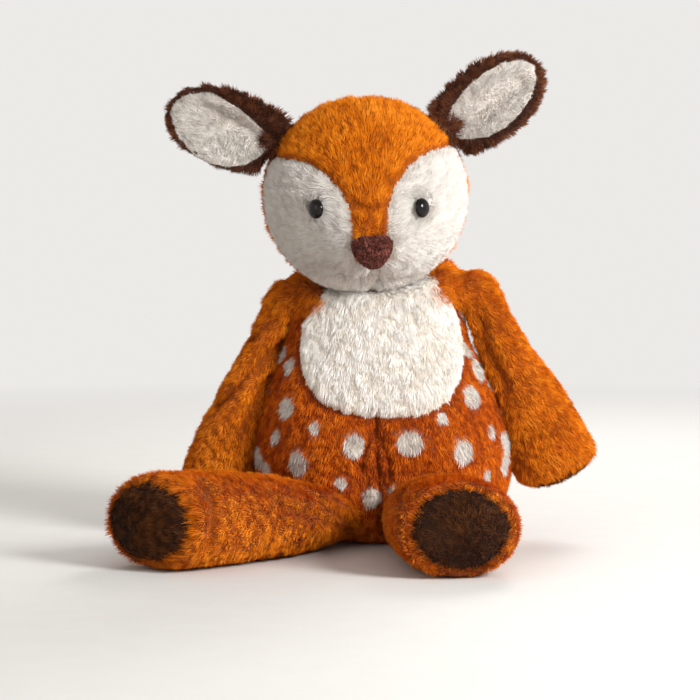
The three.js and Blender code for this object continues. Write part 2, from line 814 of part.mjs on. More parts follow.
// Tail: one leaf, split into its dark upper and its pale lower skin.
function tail() {
  const spine = bodySpine(tailHeightShare);
  const pivot = new THREE.Vector3(spine.x, spine.y + bodyHalfDepth, bodyHeight * tailHeightShare);
  const root = pivot.clone().setY(spine.y + bodyHalfDepth * tailRootShare);
  const pitch = radians(tailPitchDegrees);
  const direction = new THREE.Vector3(0, Math.cos(pitch), Math.sin(pitch));
  const frame = limbFrame(root, direction, X, 0);
  const joint = { pivot, axis: X, from: 0, to: tailLiftDegrees };
  const whole = solidOf(
    bag({
      profileShares: tailProfileShares,
      height: tailLength,
      halfWidth: tailHalfWidth,
      halfDepth: tailHalfThickness,
      sides: limbSides,
      rows: tailRows,
      grow: 0,
    }).applyMatrix4(frame),
  ).subtract(blockedBy(bodyObstacle(motionGap), joint));
  const half = (low, high) => {
    const corners = [new THREE.Vector3(-reach, low, -reach), new THREE.Vector3(reach, high, reach)];
    return solidOf(boxBetween(...corners).applyMatrix4(frame));
  };
  return {
    joint,
    top: whole.intersect(half(-reach, -seamGap / 2)),
    under: whole.intersect(half(seamGap / 2, reach)),
  };
}

const group = new THREE.Group();

function addTo(parent, name, solid, material) {
  const mesh = mainBody(solid).getMesh();
  const positions = new Float32Array(mesh.numVert * 3);
  for (let i = 0; i < mesh.numVert; i++)
    positions.set(mesh.vertProperties.subarray(i * mesh.numProp, i * mesh.numProp + 3), i * 3);
  const geometry = new THREE.BufferGeometry()
    .setAttribute("position", new THREE.BufferAttribute(positions, 3))
    .setIndex(new THREE.BufferAttribute(new Uint32Array(mesh.triVerts), 1));
  parent.updateWorldMatrix(true, false);
  geometry.applyMatrix4(parent.matrixWorld.clone().invert());
  geometry.computeVertexNormals();
  const made = new THREE.Mesh(geometry, material);
  made.name = name;
  parent.add(made);
}

function groupAt(parent, pivot) {
  const made = new THREE.Group();
  parent.add(made);
  parent.updateWorldMatrix(true, false);
  made.position.copy(parent.worldToLocal(pivot.clone()));
  return made;
}

addTo(group, "body_skin", bodySkin, materials.spottedPlush);
addTo(group, "chest_bib", chestBib, materials.bibPlush);
addTo(group, "body_stuffing", bodyStuffing, materials.filling);
addTo(group, "pellet_bag", pelletBag, materials.pelletCloth);

const headGroup = groupAt(group, neckCentre);
addTo(headGroup, "neck_ring", ringForm(0), materials.seamTape);
addTo(headGroup, "crown_panel", crown, materials.orangePlush);
addTo(headGroup, "head_stuffing", headStuffing, materials.filling);
addTo(headGroup, "nose_pad", nose, materials.terry);

const madeTail = tail();
const tailGroup = groupAt(group, madeTail.joint.pivot);
addTo(tailGroup, "tail_top", madeTail.top, materials.orangePlush);
addTo(tailGroup, "tail_under", madeTail.under, materials.whitePlush);

for (const side of [1, -1]) {
  const name = sideNames[side];
  addTo(headGroup, `cheek_${name}`, cheeks[side], materials.whitePlush);
  addTo(headGroup, `head_back_${name}`, headPanel(behindSeam(side)), materials.orangePlush);
  addTo(headGroup, `eye_${name}`, eyeSolid(eyeFrame(side), 0), materials.eyePlastic);
  addTo(headGroup, `eye_washer_${name}`, washerSolid(eyeFrame(side), 0, true), materials.washerPlastic);

  const madeEar = ear(side);
  const earGroup = groupAt(headGroup, madeEar.joint.pivot);
  addTo(earGroup, `ear_back_${name}`, madeEar.back, materials.brownPlush);
  addTo(earGroup, `ear_lining_${name}`, madeEar.lining, materials.whitePlush);

  const madeArm = arm(side);
  const armGroup = groupAt(group, madeArm.joint.pivot);
  addTo(armGroup, `arm_skin_${name}`, madeArm.skin, materials.orangePlush);
  addTo(armGroup, `arm_stuffing_${name}`, madeArm.stuffing, materials.filling);
  addTo(armGroup, `paw_pad_${name}`, madeArm.pad, materials.padPlush);

  const madeLeg = leg(side);
  const legGroup = groupAt(group, madeLeg.joint.pivot);
  addTo(legGroup, `leg_skin_${name}`, madeLeg.skin, materials.orangePlush);
  addTo(legGroup, `leg_stuffing_${name}`, madeLeg.stuffing, materials.filling);
  addTo(legGroup, `sole_pad_${name}`, madeLeg.pad, materials.padPlush);
}

export default group;
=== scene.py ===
# %% [markdown]
# # A plush fawn: filled forms, sewn panels and a pile of real tufts
# A plush toy is a set of cloth panels sewn into closed bags and stuffed. What the eye reads is the
# pile: thousands of soft fibres that lean one way, part at the seams and hide the cloth. So this
# lesson goes in the order of the workshop. Each body part becomes one swollen bag, the bag is cut
# into its panels, and each panel gets its cloth and its pile.

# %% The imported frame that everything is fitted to
import json
import math

import bmesh
import bpy
import numpy as np
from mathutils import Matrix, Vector, noise
from mathutils.bvhtree import BVHTree
from mathutils.kdtree import KDTree


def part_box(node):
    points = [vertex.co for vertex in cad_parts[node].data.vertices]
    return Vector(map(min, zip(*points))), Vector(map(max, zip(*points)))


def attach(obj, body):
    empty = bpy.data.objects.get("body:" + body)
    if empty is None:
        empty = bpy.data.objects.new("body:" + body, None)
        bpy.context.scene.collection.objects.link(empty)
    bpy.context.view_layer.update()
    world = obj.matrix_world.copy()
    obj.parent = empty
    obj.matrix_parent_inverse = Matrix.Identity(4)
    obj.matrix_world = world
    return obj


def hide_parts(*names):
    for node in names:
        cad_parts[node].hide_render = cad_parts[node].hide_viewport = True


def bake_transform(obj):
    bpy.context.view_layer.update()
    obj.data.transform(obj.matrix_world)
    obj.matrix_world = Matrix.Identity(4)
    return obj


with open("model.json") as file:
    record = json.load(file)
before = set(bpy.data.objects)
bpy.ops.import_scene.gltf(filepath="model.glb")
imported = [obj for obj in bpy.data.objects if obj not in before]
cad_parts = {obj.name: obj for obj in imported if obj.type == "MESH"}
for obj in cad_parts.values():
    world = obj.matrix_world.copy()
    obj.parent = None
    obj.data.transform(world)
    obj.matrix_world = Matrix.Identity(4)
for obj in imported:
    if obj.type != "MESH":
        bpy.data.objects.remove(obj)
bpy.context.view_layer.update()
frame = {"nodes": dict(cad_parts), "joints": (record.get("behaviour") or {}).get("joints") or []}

MM = 0.001
NOISE_SEED = 7  # without it the noise vectors differ from run to run
noise.seed_set(NOISE_SEED)
scene = bpy.context.scene
nodes = frame["nodes"]

# %% [markdown]
# ## The camera
# The camera comes first, because the spots and creases are placed by looking through it at the
# pixels where the photograph has them. It is a long lens a little above the toy, which keeps the
# feet from growing too large.

# %% The camera and its rays
IMAGE_PIXELS = 700
SENSOR_MM, LENS_MM = 36.0, 123.5
CAMERA_DISTANCE = 1200 * MM
CAMERA_HEIGHT_ANGLE = math.radians(4)
CAMERA_AIM = Vector((-18, 0, 94)) * MM

camera = bpy.data.objects.new("camera", bpy.data.cameras.new("camera"))
scene.collection.objects.link(camera)
camera.data.lens, camera.data.sensor_width = LENS_MM, SENSOR_MM
look = Vector((0, math.cos(CAMERA_HEIGHT_ANGLE), -math.sin(CAMERA_HEIGHT_ANGLE)))
camera.location = CAMERA_AIM - look * CAMERA_DISTANCE
camera.rotation_euler = look.to_track_quat("-Z", "Y").to_euler()
scene.camera = camera
bpy.context.view_layer.update()


def pixel_ray(pixel):
    """The direction in which the camera sees a pixel of the photograph."""
    half = IMAGE_PIXELS / 2
    reach = SENSOR_MM / 2 / LENS_MM
    across, up = (pixel[0] - half) / half * reach, (half - pixel[1]) / half * reach
    return (camera.matrix_world.to_3x3() @ Vector((across, up, -1))).normalized()


def pixel_of(point):
    """The pixel at which the camera sees a point."""
    seen = camera.matrix_world.inverted() @ Vector(point)
    half = IMAGE_PIXELS / 2
    reach = SENSOR_MM / 2 / LENS_MM
    return half + seen.x / -seen.z / reach * half, half - seen.y / -seen.z / reach * half


def inside(pixel, outline):
    """Whether a pixel lies within a closed outline of pixels."""
    x, y = pixel
    within = False
    for (x0, y0), (x1, y1) in zip(outline, outline[1:] + outline[:1]):
        if (y0 > y) != (y1 > y) and x < x0 + (y - y0) / (y1 - y0) * (x1 - x0):
            within = not within
    return within


print("camera at", [round(c / MM) for c in camera.location], "mm")

# %% [markdown]
# ## Arrays in and out of a mesh
# Pile needs a direction, a length and a shade at every point of the cloth. Numpy reads and writes
# them as whole arrays, which is far quicker than one point at a time.


# %% Helpers for mesh arrays
def rows_of(items, key):
    flat = np.empty(len(items) * 3, np.float32)
    items.foreach_get(key, flat)
    return flat.reshape(-1, 3)


def points_of(mesh):
    return rows_of(mesh.vertices, "co")


def normals_of(mesh):
    return rows_of(mesh.vertex_normals, "vector")


def put_points(mesh, points):
    mesh.vertices.foreach_set("co", np.ascontiguousarray(points, np.float32).ravel())
    mesh.update()


def store(mesh, name, values):
    """Keeps one number or one vector for each point of the mesh."""
    values = np.ascontiguousarray(values, np.float32)
    kind, key = ("FLOAT", "value") if values.ndim == 1 else ("FLOAT_VECTOR", "vector")
    held = mesh.attributes.get(name) or mesh.attributes.new(name, kind, "POINT")
    held.data.foreach_set(key, values.ravel())


def stored(mesh, name):
    values = np.empty(len(mesh.vertices), np.float32)
    mesh.attributes[name].data.foreach_get("value", values)
    return values


def unit(vectors):
    return vectors / np.maximum(np.linalg.norm(vectors, axis=1, keepdims=True), 1e-9)


def new_object(name, mesh):
    made = bpy.data.objects.new(name, mesh)
    scene.collection.objects.link(made)
    return made


def mesh_of(name, shape):
    """The mesh that a bmesh holds. The bmesh is freed."""
    mesh = bpy.data.meshes.new(name)
    shape.to_mesh(mesh)
    shape.free()
    return mesh


def put_back(thing, shape):
    """Writes a bmesh back to its object, and frees it."""
    shape.to_mesh(thing.data)
    shape.free()


def shade_smooth(mesh):
    for face in mesh.polygons:
        face.use_smooth = True


def wear(thing, material):
    """Gives a piece one material all over."""
    thing.data.materials.clear()
    thing.data.materials.append(material)


def finished_mesh(thing):
    """The mesh as its modifiers leave it."""
    graph = bpy.context.evaluated_depsgraph_get()
    return bpy.data.meshes.new_from_object(thing.evaluated_get(graph))


def apply_modifiers(thing):
    mesh = finished_mesh(thing)
    thing.modifiers.clear()
    thing.data = mesh


def refine(thing):
    """Splits every face in four and rounds them off."""
    fine = thing.modifiers.new("fine", "SUBSURF")
    fine.levels = fine.render_levels = 1
    apply_modifiers(thing)


def merged_copy(*names):
    """A bmesh of CAD nodes with their loose triangles joined up."""
    shape = bmesh.new()
    for name in names:
        shape.from_mesh(nodes[name].data)
    bmesh.ops.remove_doubles(shape, verts=shape.verts, dist=0.001 * MM)
    return shape


# %% [markdown]
# ## One bag for each body part
# The CAD has the cloth as walls round a filling. Joined and remeshed, each body part becomes one
# closed, even skin, which is what a stuffed bag is before the eye picks out its panels. The pile
# will stand on it, so the cloth first moves inwards by the pile's depth.

# %% The body parts and their panels
PANELS = {
    "body": ("torso", ["body_skin", "chest_bib"], ["body_stuffing", "pellet_bag"]),
    "head": (
        "head",
        ["crown_panel", "cheek_left", "cheek_right", "head_back_left", "head_back_right"],
        ["head_stuffing"],
    ),
    "tail": ("tail", ["tail_top", "tail_under"], []),
}
for side in ("left", "right"):
    PANELS[f"arm_{side}"] = (
        f"arm_{side}", [f"arm_skin_{side}", f"paw_pad_{side}"], [f"arm_stuffing_{side}"])
    PANELS[f"leg_{side}"] = (
        f"leg_{side}", [f"leg_skin_{side}", f"sole_pad_{side}"], [f"leg_stuffing_{side}"])
    PANELS[f"ear_{side}"] = (f"ear_{side}", [f"ear_back_{side}", f"ear_lining_{side}"], [])
THIN_PARTS = ("tail", "ear_left", "ear_right")
CLOTH_VOXEL, THIN_VOXEL = 3 * MM, 1.3 * MM
PILE_DEPTH = {"body": 1.6, "head": 1.8, "arm": 0.9, "leg": 1.6, "ear": 0.3, "tail": 0.3}
LOWEST, LOWEST_TIP = 0.4 * MM, 0.05 * MM  # of the cloth and of the pile, above the floor
JOINT_POINT = {joint["child"]: Vector(joint["pos_m"]) for joint in frame["joints"]}
node_trees = {}
for _, panels, _ in PANELS.values():
    for name in panels:
        shape = merged_copy(name)
        node_trees[name] = BVHTree.FromBMesh(shape)
        shape.free()

# Parts that press on each other: there the cloth stays out, so that no light shows between them.
LIMBS = ["arm_skin_left", "arm_skin_right", "leg_skin_left", "leg_skin_right"]
PRESSED_ON = {"body": LIMBS, "arm": ["body_skin", "chest_bib"], "leg": ["body_skin"]}
PRESSED_FROM, PRESSED_TO = 1.5 * MM, 7 * MM
THICKNESS_SHARE = 0.1
JUST_INSIDE = 0.01 * MM


def largest_island(shape):
    """Deletes all but the largest connected piece of a bmesh."""
    left, islands = set(shape.verts), []
    while left:
        start = left.pop()
        island, edge = {start}, [start]
        while edge:
            point = edge.pop()
            for line in point.link_edges:
                other = line.other_vert(point)
                if other in left:
                    left.discard(other)
                    island.add(other)
                    edge.append(other)
        islands.append(island)
    keep = max(islands, key=len)
    crumbs = [v for v in shape.verts if v not in keep]
    bmesh.ops.delete(shape, geom=crumbs, context="VERTS")


def keep_where(shape, wanted):
    """Deletes the points of a bmesh whose place fails a test."""
    gone = [v for v in shape.verts if not wanted(v.co)]
    bmesh.ops.delete(shape, geom=gone, context="VERTS")


def even_form(name, members, voxel, rounds, wanted=None):
    """One even, smoothed skin over CAD nodes: its object, and its bmesh to work on further."""
    made = new_object(name, mesh_of(name, merged_copy(*members)))
    even = made.modifiers.new("even", "REMESH")
    even.mode, even.voxel_size = "VOXEL", voxel
    apply_modifiers(made)
    shape = bmesh.new()
    shape.from_mesh(made.data)
    if wanted:
        keep_where(shape, wanted)
    largest_island(shape)
    for _ in range(rounds):
        bmesh.ops.smooth_vert(
            shape, verts=shape.verts, factor=0.5, use_axis_x=True, use_axis_y=True, use_axis_z=True)
    shape.normal_update()
    return made, shape


def inset_share(name, point):
    """How much of the pile's depth the cloth is drawn in by: less where another part is near."""
    others = PRESSED_ON.get(name.split("_")[0], [])
    gap = min((node_trees[other].find_nearest(point)[3] for other in others), default=1)
    return min(1, max(0, (gap - PRESSED_FROM) / (PRESSED_TO - PRESSED_FROM)))


def bag(name):
    """The closed bag of a body part, in even quads, drawn in to where the cloth lies."""
    _, panels, fillings = PANELS[name]
    voxel, rounds = (THIN_VOXEL, 4) if name in THIN_PARTS else (CLOTH_VOXEL, 3)
    made, shape = even_form(name, [*panels, *fillings], voxel, rounds)
    tree = BVHTree.FromBMesh(shape)
    depth = PILE_DEPTH[name.split("_")[0]] * MM
    moves = []
    for point in shape.verts:
        start = point.co - point.normal * JUST_INSIDE
        across = tree.ray_cast(start, -point.normal)[3] or 1
        moves.append(point.normal * min(depth * inset_share(name, point.co),
                                        THICKNESS_SHARE * across))
    for point, move in zip(shape.verts, moves):
        point.co -= move
    put_back(made, shape)
    return made


bags = {name: bag(name) for name in PANELS}
for name, made in bags.items():
    print(name, len(made.data.vertices), "points")

# %% [markdown]
# ## Seams that are sewn into the cloth
# Some seams run within one panel: the gathered seam down the front, the seam across the bridge of
# the nose and the folds where a limb bends. Each is a row of pixels, and the camera's rays find
# where it lies on the bag. The points of the seams that are sewn down are held while the bag
# swells, so that the cloth bulges and puckers on both sides of them.

# %% Seams and folds, by pixels of the photograph
# title: (part, pixels along it, half width in mm, depth in mm)
SEAM_PIXELS = {
    "front seam": ("body", [(376, 416), (377, 450), (379, 485), (382, 530)], 2.4, 4.2),
    "pucker 1": ("body", [(374, 428), (365, 450), (362, 470)], 2.4, 3.0),
    "pucker 2": ("body", [(380, 436), (389, 460), (390, 478)], 2.4, 3.0),
    "pucker 3": ("body", [(376, 466), (366, 488), (361, 502)], 2.4, 3.0),
    "pucker 4": ("body", [(381, 474), (393, 500), (397, 514)], 2.4, 3.0),
    "bridge seam": ("head", [(354, 204), (371, 211), (390, 206)], 1.8, 2.2),
    "mouth seam": ("head", [(376, 262), (377, 273), (379, 284)], 2.8, 4.6),
    "lip left": ("head", [(378, 272), (392, 280), (408, 276)], 2.6, 3.2),
    "lip right": ("head", [(376, 272), (361, 280), (344, 274)], 2.8, 3.6),
    "long crease": ("arm_right", [(300, 332), (268, 357), (240, 380), (212, 406)], 4.2, 4.6),
    "short crease": ("arm_right", [(290, 356), (262, 388), (246, 428)], 3.4, 3.0),
    "upper crease": ("arm_right", [(276, 316), (254, 334), (232, 362)], 3.2, 2.4),
    "elbow crease": ("arm_left", [(480, 318), (488, 348), (508, 386)], 3.4, 2.6),
    "hip fold low": ("leg_right", [(352, 532), (320, 515), (285, 508)], 3.2, 3.4),
    "hip fold high": ("leg_right", [(350, 524), (322, 500), (296, 486)], 3.0, 3.0),
    "ankle fold": ("leg_right", [(206, 484), (214, 508), (210, 545)], 3.4, 2.6),
    "rim fold": ("leg_left", [(404, 494), (399, 518), (404, 546)], 2.6, 2.6),
    "left ear hollow": ("ear_left", [(458, 124), (488, 104), (518, 84)], 4.0, 1.6),
    "right ear hollow": ("ear_right", [(204, 106), (232, 121), (262, 139)], 3.4, 2.2),
}
SEWN_DOWN = ("front seam", "mouth seam")  # the others are only folds
RAY_STEP_PIXELS = 3.0


def tree_of(mesh):
    shape = bmesh.new()
    shape.from_mesh(mesh)
    tree = BVHTree.FromBMesh(shape)
    shape.free()
    return tree


def seen_points(tree, pixels):
    """Where the camera's rays through a row of pixels meet a bag."""
    found = []
    for start, end in zip(pixels, pixels[1:]):
        a, b = Vector(start), Vector(end)
        steps = max(1, round((b - a).length / RAY_STEP_PIXELS))
        for step in range(steps + 1):
            hit = tree.ray_cast(camera.location, pixel_ray(a.lerp(b, step / steps)))[0]
            if hit:
                found.append(hit)
    return found


def near_tree(points):
    tree = KDTree(max(1, len(points)))
    for index, point in enumerate(points):
        tree.insert(point, index)
    tree.balance()
    return tree


seams = {name: [] for name in PANELS}
for title, (part, pixels, width, depth) in SEAM_PIXELS.items():
    found = seen_points(tree_of(bags[part].data), pixels)
    seams[part].append((near_tree(found), width * MM, depth * MM, title in SEWN_DOWN))
    print(title, len(found), "points on", part)

# %% [markdown]
# ## Swelling the bags
# A cloth simulation with a little pressure fills each bag. The cloth is a touch too large for its
# seams, as gathered plush is, so it wrinkles beside them. No point may travel far, because the
# bag has to stay in the space that the solid part holds.

# %% The stuffed forms
PRESSURE = 4.0
EXTRA_CLOTH = -0.02
SWELL_FRAMES = 20
MOST_SWELL = 2.2 * MM
PIN_REACH = 1.9 * MM


def swell(made, lines):
    rest = points_of(made.data).copy()
    pins = made.vertex_groups.new(name="sewn")
    held = [
        i for i, p in enumerate(rest)
        if any(sewn and tree.find(Vector(p))[2] < PIN_REACH for tree, _, _, sewn in lines)
    ]
    pins.add(held, 1.0, "REPLACE")
    cloth = made.modifiers.new("filling", "CLOTH").settings
    cloth.use_pressure, cloth.uniform_pressure_force = True, PRESSURE
    cloth.shrink_min = EXTRA_CLOTH
    cloth.vertex_group_mass = "sewn"
    cloth.effector_weights.gravity = 0
    for number in range(1, SWELL_FRAMES + 1):
        scene.frame_set(number)
    moved = points_of(finished_mesh(made)) - rest
    length = np.linalg.norm(moved, axis=1, keepdims=True)
    moved *= np.minimum(1, MOST_SWELL / np.maximum(length, 1e-9))
    made.modifiers.clear()
    made.vertex_groups.clear()
    put_points(made.data, rest + moved)
    scene.frame_set(1)
    return len(held), float(np.linalg.norm(moved, axis=1).mean())


for name, made in bags.items():
    if name not in THIN_PARTS:
        held, mean = swell(made, seams[name])
        print(f"{name}: {held} points sewn down, mean swell {mean / MM:.2f} mm")
    refine(made)

# %% [markdown]
# ## Cutting the panels
# Every face of a bag belongs to the panel whose CAD solid is nearest. Along the lines between two
# panels the cloth sinks into a groove, as it does where a seam pulls it in, and the inner seams
# and folds are carved the same way.

# %% Panels and grooves
GROOVE_WIDTH, GROOVE_DEPTH = 2.2 * MM, 1.1 * MM
THIN_GROOVE_SHARE = 0.35
LABEL_REACH = 2 * MM
LINING_PIXELS = {
    "ear_right": [(170, 112), (176, 101), (192, 92), (212, 93), (238, 108), (262, 129), (270, 142),
                  (262, 155), (246, 164), (228, 167), (207, 163), (190, 151), (176, 132)],
    "ear_left": [(443, 138), (446, 124), (453, 106), (466, 89), (484, 73), (503, 63), (522, 60),
                 (534, 65), (536, 80), (531, 97), (520, 113), (506, 127), (489, 136), (468, 139)],
}


def panel_of_faces(mesh, panels):
    """For each face, the panel whose solid is nearest, seen from a little outside the cloth."""
    points = points_of(mesh) + normals_of(mesh) * LABEL_REACH
    gaps = np.array([[node_trees[name].find_nearest(Vector(p))[3] for name in panels] for p in points])
    return [int(np.argmin(gaps[list(face.vertices)].mean(axis=0))) for face in mesh.polygons]


def ear_panels(name, mesh):
    """The lining shows within its outline on the side that faces the camera."""
    return [int(face.normal.dot(look) < 0 and inside(pixel_of(face.center), LINING_PIXELS[name]))
            for face in mesh.polygons]


def border_points(mesh, labels):
    """The points where two panels meet."""
    first = {}
    borders = set()
    for face, label in zip(mesh.polygons, labels):
        for corner in face.vertices:
            if first.setdefault(corner, label) != label:
                borders.add(corner)
    return [mesh.vertices[i].co.copy() for i in sorted(borders)]


def carve(made, labels, lines, share):
    """Sinks the cloth along panel borders and inner seams, and keeps how near each point is to one."""
    mesh = made.data
    points, normals = points_of(mesh).copy(), normals_of(mesh)
    borders = near_tree(border_points(mesh, labels))
    near = np.zeros(len(points), np.float32)
    sink = np.zeros(len(points), np.float32)
    for index, point in enumerate(points):
        gap = borders.find(Vector(point))[2]
        near[index] = math.exp(-(gap / GROOVE_WIDTH) ** 2) if gap is not None else 0
        sink[index] = GROOVE_DEPTH * share * near[index]
        for tree, width, depth, _ in lines:
            gap = tree.find(Vector(point))[2]
            if gap is not None and gap < 4 * width:
                fold = math.exp(-(gap / width) ** 2)
                near[index] = max(near[index], fold)
                sink[index] = max(sink[index], depth * fold)
    points -= normals * sink[:, None]
    points[:, 2] = np.maximum(points[:, 2], LOWEST)
    put_points(mesh, points)
    store(mesh, "seam", near)


face_labels = {}
for name, made in bags.items():
    face_labels[name] = (ear_panels(name, made.data) if name in LINING_PIXELS
                         else panel_of_faces(made.data, PANELS[name][1]))
    carve(made, face_labels[name], seams[name], THIN_GROOVE_SHARE if name in THIN_PARTS else 1.0)
    print(name, len(made.data.polygons), "faces in", len(set(face_labels[name])), "panels")

# %% [markdown]
# ## Which way the pile lies
# Plush is cut so that its pile runs down the toy and along its limbs, and on the face it runs
# outwards from the nose. So each body part gets a point that its pile lies away from. Slow noise
# bends that direction and the length, which gives the soft clumps of handled plush. Along seams
# and folds the pile's tone is darker: painted shade in the creases.

# %% Lay, length and shade of the pile
nose_low, nose_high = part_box("nose_pad")
NOSE = (nose_low + nose_high) / 2
HIGH_ABOVE = Vector((0, 0, 1000)) * MM
LAY_FROM = {name: JOINT_POINT.get(body, HIGH_ABOVE) for name, (body, _, _) in PANELS.items()}
LAY_FROM["body"], LAY_FROM["head"] = HIGH_ABOVE, NOSE
for side in ("left", "right"):
    LAY_FROM[f"arm_{side}"] = JOINT_POINT[f"arm_{side}"].lerp(JOINT_POINT["neck"], 0.6)
    LAY_FROM[f"arm_{side}"] += Vector((0, 0, 14)) * MM
CLUMP_SIZE, PATCH_SIZE = 5.5 * MM, 16 * MM
CLUMP_BEND = 0.6
UNDERSIDE, SHORTEST_BELOW = 4 * MM, 0.35
EAR_FAN = 1.4
LUMP_LENGTH, SEAM_TRIM = 0.25, 0.55
MEAN_SHADE, PATCH_SHADE, LUMP_SHADE, SEAM_SHADE = 0.55, 0.7, 0.3, 1.2
# the pile bends towards these nodes and covers their edges: share, reach in mm, extra length
OVERHANGS = {
    "head": [("eye_left", 2.5, 4.5, 0.5), ("eye_right", 2.5, 4.5, 0.5), ("nose_pad", 0.9, 9, 0)],
    "leg_left": [("sole_pad_left", 1.3, 5, 0.4)],
    "leg_right": [("sole_pad_right", 1.3, 5, 0.4)],
    "arm_left": [("paw_pad_left", 1.0, 4, 0.2)],
    "arm_right": [("paw_pad_right", 1.0, 4, 0.2)],
}


def lay_pile(name, made, fan=EAR_FAN):
    mesh = made.data
    points, normals = points_of(mesh), normals_of(mesh)
    away = unit(points - np.array(LAY_FROM[name]))
    if name.startswith("ear"):
        away += fan * unit(points - points.mean(axis=0))
    near_edge, extra = np.zeros(len(points)), np.zeros(len(points))
    for node, share, reach, longer in OVERHANGS.get(name, []):
        low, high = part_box(node)
        gaps = np.array([node_trees[node].find_nearest(Vector(p))[3] if node in node_trees
                         else max(0, (Vector(p) - (low + high) / 2).length - (high - low).length / 3)
                         for p in points])
        close = np.exp(-(gaps / (reach * MM)) ** 2)
        away += share * close[:, None] * unit(np.array((low + high) / 2) - points)
        near_edge, extra = np.maximum(near_edge, close), np.maximum(extra, longer * close)
    bend = np.array([noise.noise_vector(Vector(p) / CLUMP_SIZE) for p in points])
    patch = np.array([noise.noise(Vector(p) / PATCH_SIZE) for p in points])
    lump = np.array([noise.noise(Vector(p) / CLUMP_SIZE + HIGH_ABOVE) for p in points])
    lay = away + bend * CLUMP_BEND
    lay = unit(lay - normals * np.sum(lay * normals, axis=1, keepdims=True))
    seam = stored(mesh, "seam")
    grounded = np.clip(points[:, 2] / UNDERSIDE, SHORTEST_BELOW, 1)
    store(mesh, "lay", lay)
    long = 1 + LUMP_LENGTH * lump + extra - SEAM_TRIM * seam * (1 - near_edge)
    store(mesh, "long", long * grounded)
    # the tone varies in random patches and lumps; along seams and folds it is darker, which is painted
    # shade in the creases
    shade = np.clip(MEAN_SHADE + PATCH_SHADE * patch + LUMP_SHADE * lump, 0, 1)
    store(mesh, "shade", shade - SEAM_SHADE * seam)
    store(mesh, "spot", np.zeros(len(points)))


for name, made in bags.items():
    lay_pile(name, made)
print("pile laid on", len(bags), "body parts")

# %% [markdown]
# ## The spots
# A fawn has pale spots. Those on the front are where the photograph has them: a ray through each
# pixel finds the place on the body. The sides and the back, which it doesn't show, go on in the
# same loose rows.

# %% Spots on the body
SPOT_PIXELS = [
    # pixel x, pixel y, half width and half height in pixels
    (287, 407, 10, 11), (315, 427, 6, 6), (354, 445, 10, 13), (298, 462, 11, 12), (341, 482, 6, 6),
    (372, 498, 11, 10), (394, 491, 6, 6), (332, 508, 9, 6), (410, 442, 13, 12), (442, 418, 6, 6),
    (471, 396, 11, 12), (463, 451, 11, 12), (490, 430, 6, 7), (488, 384, 5, 6), (504, 462, 10, 12),
    (503, 416, 6, 9), (465, 349, 7, 11), (454, 315, 9, 8), (453, 276, 7, 7), (305, 294, 6, 6),
    (290, 365, 7, 10), (276, 436, 6, 7), (268, 470, 9, 10),
]
PIXELS_PER_MM = 2.0
BACK_ROWS = 5
BACK_LOW, BACK_HIGH = 26 * MM, 112 * MM
BACK_SPOTS_EACH = 9
LARGE_SPOT, SMALL_SPOT = 5.2 * MM, 3.0 * MM
BACK_WANDER = 12 * MM
SPOT_EDGE = 1.3 * MM
FRONT_HALF_ANGLE = math.radians(62)


def spots_on(mesh):
    """Centres and radii of all spots: the seen ones by ray, then rows round the sides and back."""
    tree = tree_of(mesh)
    found = []
    for x, y, wide, high in SPOT_PIXELS:
        hit = tree.ray_cast(camera.location, pixel_ray((x, y)))[0]
        if hit:
            found.append((hit, wide / PIXELS_PER_MM * MM, high / PIXELS_PER_MM * MM))
    for row in range(BACK_ROWS):
        height = BACK_LOW + (BACK_HIGH - BACK_LOW) * row / (BACK_ROWS - 1)
        for column in range(BACK_SPOTS_EACH):
            turn = (column + 0.5 * (row % 2)) / BACK_SPOTS_EACH
            wander = noise.noise_vector(Vector((row * 3.7, column * 5.3, 0.4)))
            angle = FRONT_HALF_ANGLE + (2 * math.pi - 2 * FRONT_HALF_ANGLE) * (turn + 0.07 * wander.x)
            out = Vector((math.sin(angle), -math.cos(angle), 0))
            start = Vector((-4 * MM, 0, height + BACK_WANDER * wander.y)) + out
            hit = tree.ray_cast(start, -out)[0]
            size = (LARGE_SPOT if (row + column) % 2 else SMALL_SPOT) * (1 + 0.4 * wander.z)
            if hit:
                found.append((hit, size, size * 1.12))
    return found


body_mesh = bags["body"].data
spots = spots_on(body_mesh)
body_points = points_of(body_mesh)
spot_share = np.zeros(len(body_points), np.float32)
for centre, wide, high in spots:
    apart = body_points - np.array(centre)
    level = np.hypot(apart[:, 0], apart[:, 1]) / wide
    reach = np.hypot(level, apart[:, 2] / high)
    spot_share = np.maximum(spot_share, np.clip((1 - reach) * wide / SPOT_EDGE + 0.5, 0, 1))
store(body_mesh, "spot", spot_share)
print(len(spots), "spots on the body")

# %% [markdown]
# ## The tuft and the nodes that plant it
# One tuft is a slim closed cone of four triangles, made once. Geometry nodes scatter it over a
# panel, lean it along the lay, vary its size and shade, and turn the whole into one mesh. The
# tufts take most of their shading from the cloth below, as soft pile does, so a panel looks
# velvety and not prickly.

# %% Tuft and nub
TUFT_SIDES = 3


def planted_object(name, shape):
    return bpy.data.objects.new(name, mesh_of(name, shape))


tuft_shape = bmesh.new()
bmesh.ops.create_cone(tuft_shape, cap_ends=True, cap_tris=False, segments=TUFT_SIDES, radius1=0.5,
                      radius2=0.0, depth=1)
bmesh.ops.translate(tuft_shape, verts=tuft_shape.verts, vec=(0, 0, 0.5))
tuft = planted_object("tuft", tuft_shape)
nub_shape = bmesh.new()
bmesh.ops.create_icosphere(nub_shape, subdivisions=1, radius=0.5)
nub = planted_object("nub", nub_shape)
print("a tuft has", len(tuft.data.polygons), "faces, and a nub", len(nub.data.polygons))


